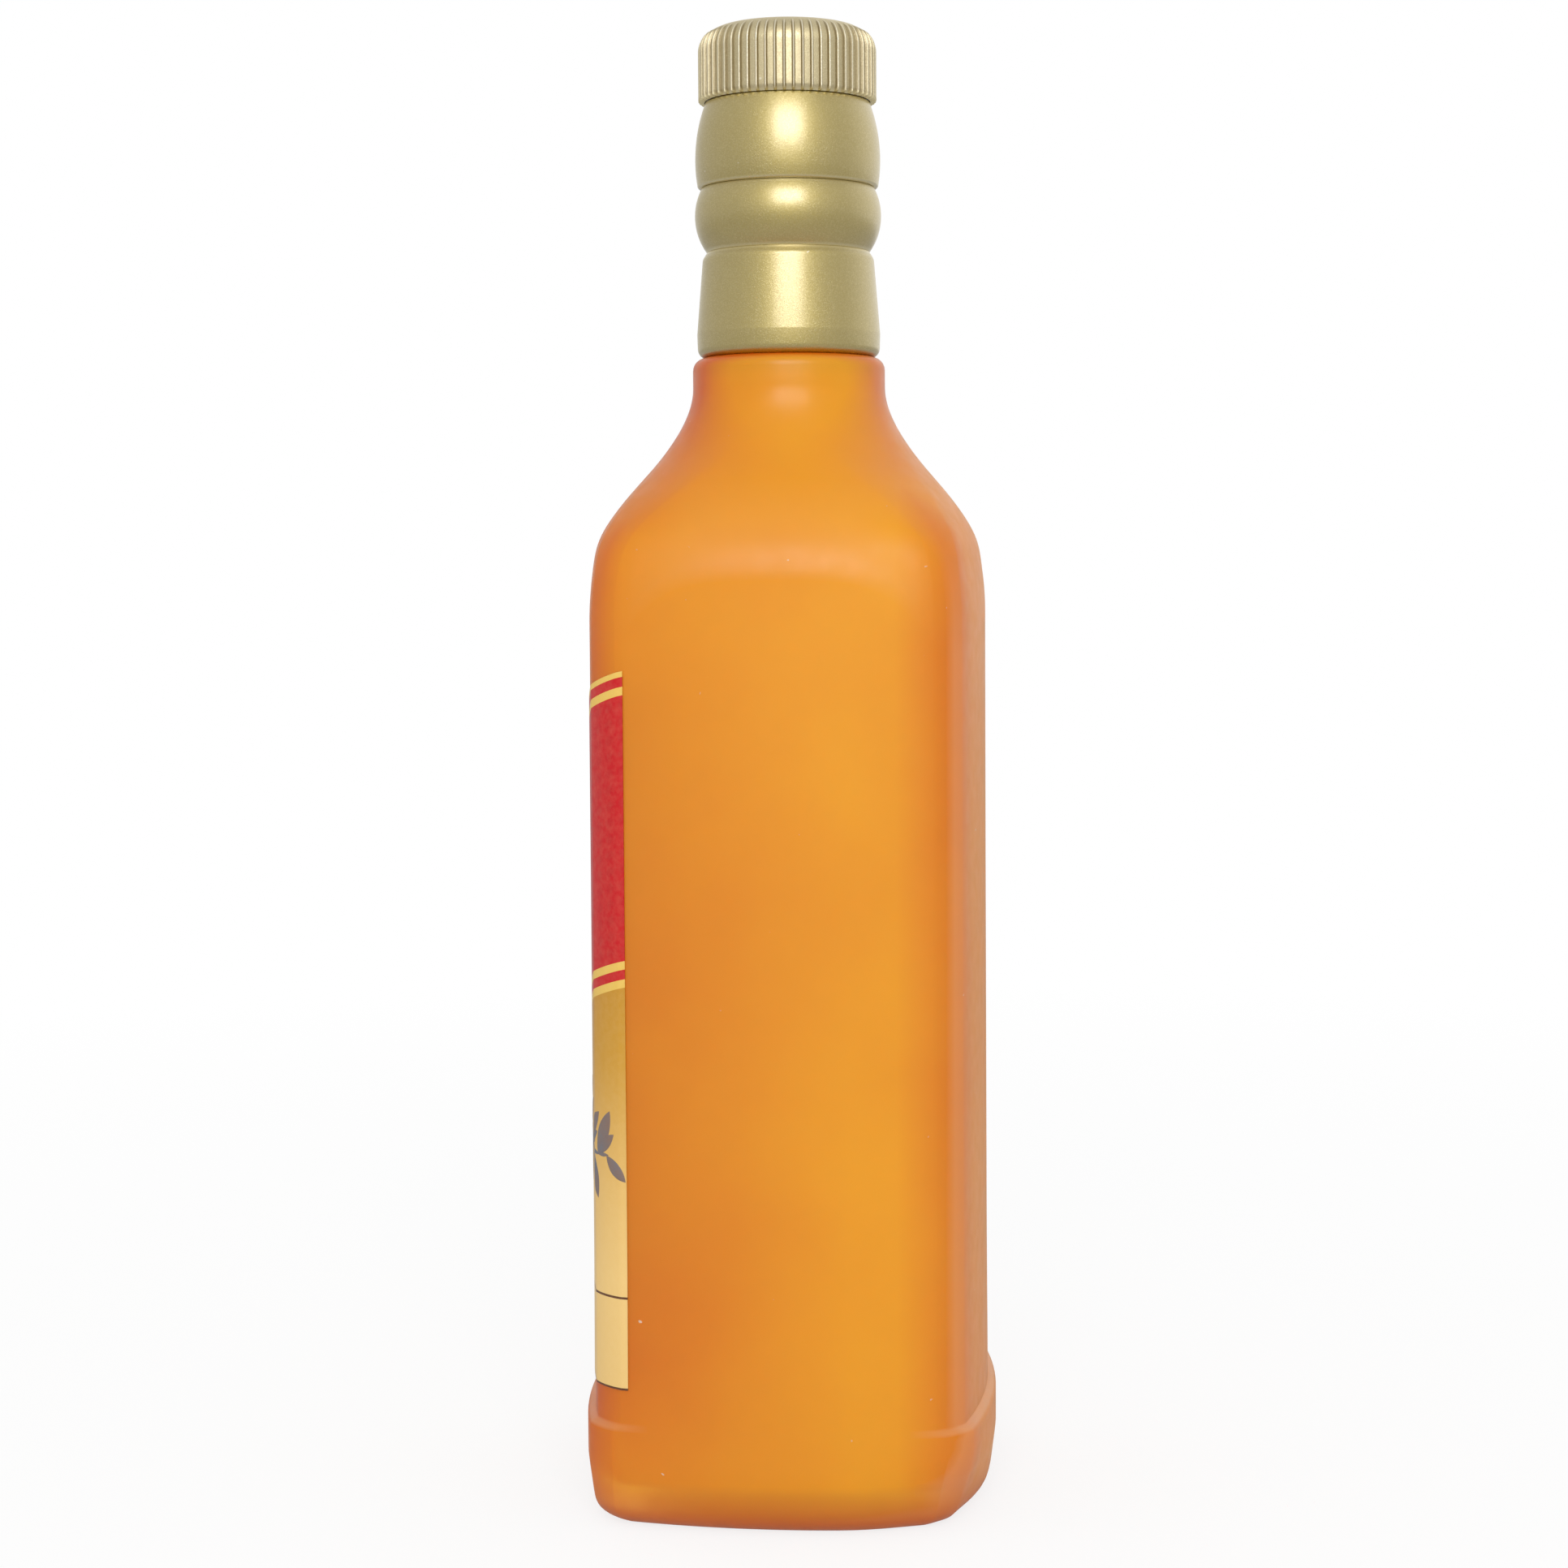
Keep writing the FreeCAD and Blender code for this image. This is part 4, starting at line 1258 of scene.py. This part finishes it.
@dataclass
class GoldCollar:
    """The three gold rings stacked on the neck: a flared skirt, a bulged ring and a swelling barrel."""

    bore: float = 13.3
    foot: float = 198.8
    skirt_top: float = 216.95
    ring_top: float = 228.0
    barrel_top: float = 242.6
    skirt_foot_radius: float = 15.95
    skirt_foot_draw: float = 0.12
    skirt_round: float = 1.6
    skirt_top_radius: float = 14.9
    skirt_shoulder: float = 1.2
    skirt_lip: float = 0.05
    skirt_lip_round: float = 0.2
    band_height: float = 202.9
    band_round: float = 2.0
    ring_foot_radius: float = 14.1
    ring_foot_round: float = 0.15
    ring_belly_radius: float = 16.12
    ring_belly_share: float = 0.46
    ring_top_radius: float = 15.0
    ring_top_round: float = 0.25
    barrel_foot_radius: float = 15.65
    barrel_foot_round: float = 0.55
    barrel_belly_radius: float = 16.05
    barrel_belly_height: float = 233.5
    barrel_top_radius: float = 14.25
    barrel_top_round: float = 0.12
    barrel_skipped: int = 2

    def skirt(self) -> Shape:
        """Profile of the lowest ring, which turns in a little above its foot."""
        return rounded([
            (self.bore, self.foot, 0.0),
            (self.skirt_foot_radius - self.skirt_foot_draw, self.foot, self.skirt_round),
            (self.skirt_foot_radius, self.band_height, self.band_round),
            (self.skirt_top_radius, self.skirt_top - self.skirt_shoulder, self.skirt_round),
            (self.ring_foot_radius + self.skirt_lip, self.skirt_top, self.skirt_lip_round),
            (self.bore, self.skirt_top, 0.0),
        ])

    def swollen(self, foot: Corner, belly: Point, top: Corner, skipped: int = 0) -> Shape:
        """Draws the profile of a ring that swells between its foot and its top.

        Args:
            foot: Radius, height and rounding of the lower edge.
            belly: Radius and height of a point of the arc between.
            top: Radius, height and rounding of the upper edge.
            skipped: Points of the arc left out to make room for the rounding of the foot.

        Returns:
            The profile.
        """
        arc = bulged((foot[0], foot[1] + TOUCH), belly, (top[0], top[1] - TOUCH))
        edge = ((radius, height, 0.0) for radius, height in arc[1 + skipped:-1])
        return rounded([(self.bore, foot[1], 0.0), foot, *edge, top, (self.bore, top[1], 0.0)])

    def ring(self) -> Shape:
        """Profile of the middle ring."""
        middle = self.skirt_top + self.ring_belly_share * (self.ring_top - self.skirt_top)
        return self.swollen(
            (self.ring_foot_radius, self.skirt_top, self.ring_foot_round), (self.ring_belly_radius, middle),
            (self.ring_top_radius, self.ring_top, self.ring_top_round),
        )

    def barrel(self) -> Shape:
        """Profile of the upper ring."""
        return self.swollen(
            (self.barrel_foot_radius, self.ring_top, self.barrel_foot_round),
            (self.barrel_belly_radius, self.barrel_belly_height),
            (self.barrel_top_radius, self.barrel_top, self.barrel_top_round), skipped=self.barrel_skipped,
        )

    def build(self) -> list[Piece]:
        """Builds the three rings."""
        # painted highlight bands along the joints between the rings
        gold = SatinGold("satin_gold_collar", highlight_heights=(self.ring_top, self.skirt_top)).material()
        made = []
        for name, profile in (("skirt", self.skirt()), ("ring", self.ring()), ("barrel", self.barrel())):
            obj = turned(f"gold_{name}", profile)
            dress(obj, gold)
            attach(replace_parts(obj, f"collar_{name}"), "bottle")
            made.append(obj)
        return made


@dataclass
class RibbedCap:
    """The cap's gold shell: thin upright ridges down to the foot, flutes drawn in there, a smooth crown."""

    foot: float = 242.64
    crown: float = 255.35
    radius: float = 14.98
    bore: float = 14.55
    inside_top: float = 254.35
    inside_round: float = 2.0
    inside_step: float = 6.0
    inside_rise: float = 0.32
    rim_width: float = 0.1
    crown_round: float = 4.2
    crown_steps: tuple[float, ...] = (0.0, 4.0, 8.0, 10.0)
    crown_rows: int = 20
    inside_rows: int = 8
    wall_drop: float = 4.4
    wall_rows: int = 9
    foot_draw: float = 0.5
    foot_power: float = 1.6
    foot_rise: float = 1.1
    foot_rows: int = 10
    ridge_count: int = 60
    ridge_steps: int = 16
    ridge_height: float = 0.46
    ridge_share: float = 0.14
    ridge_top: Point = (1.4, 0.6)
    ridge_foot: float = 0.3
    # where the painted seam shade and crest highlight lie and how wide they are
    seam_place: float = 1.05
    seam_width: float = 0.5
    crest_width: float = 0.6
    seam_rise: Point = (0.2, 1.0)
    gold: Colour = srgb(212, 197, 154)
    glint: Colour = srgb(248, 238, 202)
    coat: float = 0.25

    def outside(self) -> Shape:
        """Profile of the bare shell outside, from the middle of the crown to the rim."""
        heights = np.linspace(self.crown - self.wall_drop, self.foot + self.foot_rise, self.wall_rows)
        shares = np.linspace(0.0, 1.0, self.foot_rows + 1)[1:]
        draws = self.foot_draw * shares ** self.foot_power
        rim = zip(self.radius - draws, self.foot + self.foot_rise * (1.0 - shares))
        return rounded([
            *((radius, self.crown, 0.0) for radius in self.crown_steps),
            (self.radius, self.crown, self.crown_round),
            *((self.radius, height, 0.0) for height in heights),
            *((radius, height, 0.0) for radius, height in rim),
        ], self.crown_rows)

    def inside(self) -> Shape:
        """Profile of the shell inside, from the rim to the middle."""
        return rounded([
            (self.radius - self.foot_draw - self.rim_width, self.foot, 0.0),
            (self.bore, self.foot + self.inside_rise, 0.0),
            (self.bore, self.inside_top, self.inside_round),
            (self.inside_step, self.inside_top, 0.0), (0.0, self.inside_top, 0.0),
        ], self.inside_rows)

    @property
    def phase(self) -> np.ndarray:
        """Distance of each point of a ring from the middle of its ridge, in half widths of the ridge."""
        turn = np.arange(self.ridge_steps) / self.ridge_steps - 0.5
        return np.tile(np.abs(turn) / self.ridge_share, self.ridge_count)

    def stand(self, height: float) -> float:
        """Gives how far the ridges stand out at a height, 0 to 1."""
        top = smooth(height, self.crown - self.ridge_top[0], self.crown - self.ridge_top[1])
        return float((1.0 - top) * smooth(height, self.foot - self.ridge_foot, self.foot + self.ridge_foot))

    def ridges(self, radius: float, height: float) -> np.ndarray:
        """Gives how far each point of a ring stands proud of the bare shell.

        Args:
            radius: Radius of the bare shell there.
            height: Height of the ring.

        Returns:
            One distance for each point.
        """
        drawn = self.radius - radius if height < self.foot + self.foot_rise else 0.0
        ridge = np.sqrt(np.maximum(1.0 - self.phase ** 2, 0.0))
        return (self.ridge_height + drawn) * self.stand(height) * ridge

    def seam_shades_crest_lights(self, height: float) -> np.ndarray:
        """Gives the painted shade in the seam beside a ridge and the painted highlight on its crest, for each
        point of a ring.

        Args:
            height: Height of the ring.

        Returns:
            One value for each point: 1 for full painted shade in the seam, -1 for full painted highlight on
                the ridge's crest.
        """
        seam_shade = np.clip(1.0 - np.abs(self.phase - self.seam_place) / self.seam_width, 0.0, 1.0)
        crest_light = np.clip(1.0 - self.phase / self.crest_width, 0.0, 1.0)
        above = smooth(height, *(self.foot + rise for rise in self.seam_rise))
        return (seam_shade - crest_light) * self.stand(height) * float(above)

    def build(self) -> Piece:
        """Builds the shell as one closed skin."""
        columns = self.ridge_count * self.ridge_steps
        angles = np.linspace(0.0, 2.0 * math.pi, columns, endpoint=False)
        plain = np.zeros(columns)
        rows = [(r, height, self.ridges(r, height), self.seam_shades_crest_lights(height)) for r, height in self.outside()]
        rows += [(r, height, plain, plain) for r, height in self.inside()]
        rings = []
        for r, height, proud, _ in rows:
            reach = r + proud
            rings.append(np.column_stack([reach * np.cos(angles), reach * np.sin(angles), plain + height]))
        obj = mesh_object("cap_gold", *closed(rings, Ends.POLES))
        # the painted seam shade and crest highlight, stored on the mesh for the gold material
        seam_shade_crest_values = np.concatenate([*(row[3] for row in rows[1:-1]), [0.0, 0.0]])
        attribute = obj.data.attributes.new("seam_shade_crest_light", "FLOAT", "POINT")
        attribute.data.foreach_set("value", seam_shade_crest_values.astype(np.float32))
        # a painted highlight band at the foot, against the shade under the rim
        pale = SatinGold("satin_gold_cap", self.gold, self.glint, (self.foot,), self.coat)
        dress(obj, pale.material())
        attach(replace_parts(obj, "cap_shell"), "cap")
        return obj


@dataclass
class InnerPieces:
    """The pourer, the cap's threaded insert and its sealing disc, shown as they were constructed."""

    white: Moulded = Moulded("white_moulded_plastic", srgb(238, 236, 228), srgb(226, 222, 210), 0.36, 1500.0)
    foam: Moulded = Moulded("liner_foam", srgb(232, 230, 222), srgb(212, 208, 198), 0.68, 3200.0)

    def build(self) -> list[Piece]:
        """Gives the three pieces their finishes."""
        white = (self.white.material(), "white_plastic")
        foam = (self.foam.material(), "liner_foam")
        finishes = {"pour_insert": white, "cap_insert": white, "cap_liner": foam}
        for name, (material, slot) in finishes.items():
            dress(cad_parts[name], material)
        return [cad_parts[name] for name in finishes]


@dataclass
class Studio:
    """The pale floor, the soft light, the white surroundings and the camera."""

    azimuth: float = 94.90
    distance: float = 500.56
    height: float = 163.5
    pitch: float = 4.48
    roll: float = -0.346
    lens: float = 65.264
    sensor: float = 36.0
    shift: float = -0.00476
    white: Colour = (1.0, 1.0, 1.0)
    fill: float = 0.81
    bright_side: float = 31.513
    mirrored: Fade = Fade(0.35, 0.97, 0.66, 1.1)
    floor_size: float = 8000.0
    floor_tone: Colour = (0.9, 0.9, 0.9)
    floor_rough: float = 0.9
    floor_fade: Fade = Fade(0.05, 0.6, 0.8, 1.0)
    floor_mirrored: float = 0.5
    key_turn: float = 1.0
    key_rise: float = 28.0
    key_reach: float = 1500.0
    key_size: Point = (900.0, 700.0)
    key_power: float = 10.0
    key_aim: float = 170.0

    @staticmethod
    def away(azimuth: float, elevation: float) -> Vector:
        """Gives the way, one unit long, from the bottle to a place round it; azimuth 0 faces the label."""
        turn, rise = math.radians(azimuth), math.radians(elevation)
        return Vector((math.sin(turn) * math.cos(rise), -math.cos(turn) * math.cos(rise), math.sin(rise)))

    def surroundings(self) -> None:
        """Makes the surroundings white to look at, softer as light, and dimmer on the camera's side."""
        world = bpy.data.worlds.new("studio")
        bpy.context.scene.world = world
        g = Graph(world)
        look = g.node("TexCoord", {})["Generated"]
        behind = tuple(-self.away(self.azimuth - self.bright_side, 0.0))
        rear = g.node("VectorMath", {0: look, 1: behind}, operation="DOT_PRODUCT")["Value"]
        background = g.tree.nodes["Background"].inputs
        g.put(background["Color"], self.white)
        g.put(background["Strength"], g.rays(self.fill, g.spread(rear, self.mirrored), 1.0))

    def floor(self) -> None:
        """Lays a pale floor that keeps a soft shadow near the bottle and fades to white further off."""
        bpy.ops.mesh.primitive_plane_add(size=self.floor_size * MM, location=(0.0, 0.0, 0.0))
        plane = bpy.context.object
        plane.name = "floor"
        g = Graph.finish("pale_floor")
        g.set(Base_Color=self.floor_tone, Roughness=self.floor_rough, Specular_IOR_Level=0.0)
        off = g.node("VectorMath", {0: g.place()}, operation="LENGTH")["Value"]
        share = g.product(g.spread(off, self.floor_fade), g.rays(0.0, 1.0, 1.0))
        glow = g.node("Emission", {"Strength": g.rays(1.0, self.floor_mirrored, 1.0)})[0]
        surface = g.tree.nodes["Principled BSDF"].outputs[0]
        faded = g.node("MixShader", {0: share, 1: surface, 2: glow})[0]
        g.put(g.tree.nodes["Material Output"].inputs["Surface"], faded)
        plane.data.materials.append(g.owner)

    def key_light(self) -> None:
        """Hangs a soft light beside the camera that looks at the upper half of the bottle."""
        light = bpy.data.lights.new("key", "AREA")
        light.shape = "RECTANGLE"
        light.size, light.size_y = (side * MM for side in self.key_size)
        light.energy = self.key_power
        obj = bpy.data.objects.new("key", light)
        bpy.context.scene.collection.objects.link(obj)
        away = self.away(self.azimuth + self.key_turn, self.key_rise)
        obj.location = Vector((0.0, 0.0, self.key_aim * MM)) + away * (self.key_reach * MM)
        obj.rotation_euler = away.to_track_quat("Z", "Y").to_euler()

    def camera(self) -> None:
        """Puts the camera where the picture was taken."""
        data = bpy.data.cameras.new("camera")
        data.lens = self.lens
        data.sensor_width = self.sensor
        data.shift_x = self.shift
        obj = bpy.data.objects.new("camera", data)
        bpy.context.scene.collection.objects.link(obj)
        spot = (self.away(self.azimuth, 0.0) * self.distance + Vector((0.0, 0.0, self.height))) * MM
        aim = Matrix.Translation(spot)
        for angle, axis in ((self.azimuth, "Z"), (90.0 - self.pitch, "X"), (self.roll, "Z")):
            aim = aim @ Matrix.Rotation(math.radians(angle), 4, axis)
        obj.matrix_world = aim
        bpy.context.scene.camera = obj

    def build(self) -> None:
        """Sets up the whole studio."""
        self.surroundings()
        self.floor()
        self.key_light()
        self.camera()
        bpy.context.scene.view_settings.view_transform = "Standard"


def main() -> None:
    """Builds every piece in order."""
    logging.basicConfig(level=logging.INFO, format="%(name)s: %(message)s")
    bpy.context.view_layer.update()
    glass = GlassBottle()
    pieces = [glass.build(), *FrontLabel(glass).build(), *GoldCollar().build()]
    pieces += [RibbedCap().build(), *InnerPieces().build()]
    for piece in pieces:
        LOG.info("%s: %d faces", piece.name, len(piece.data.polygons))
    Studio().build()


if __name__ == "__main__":
    main()
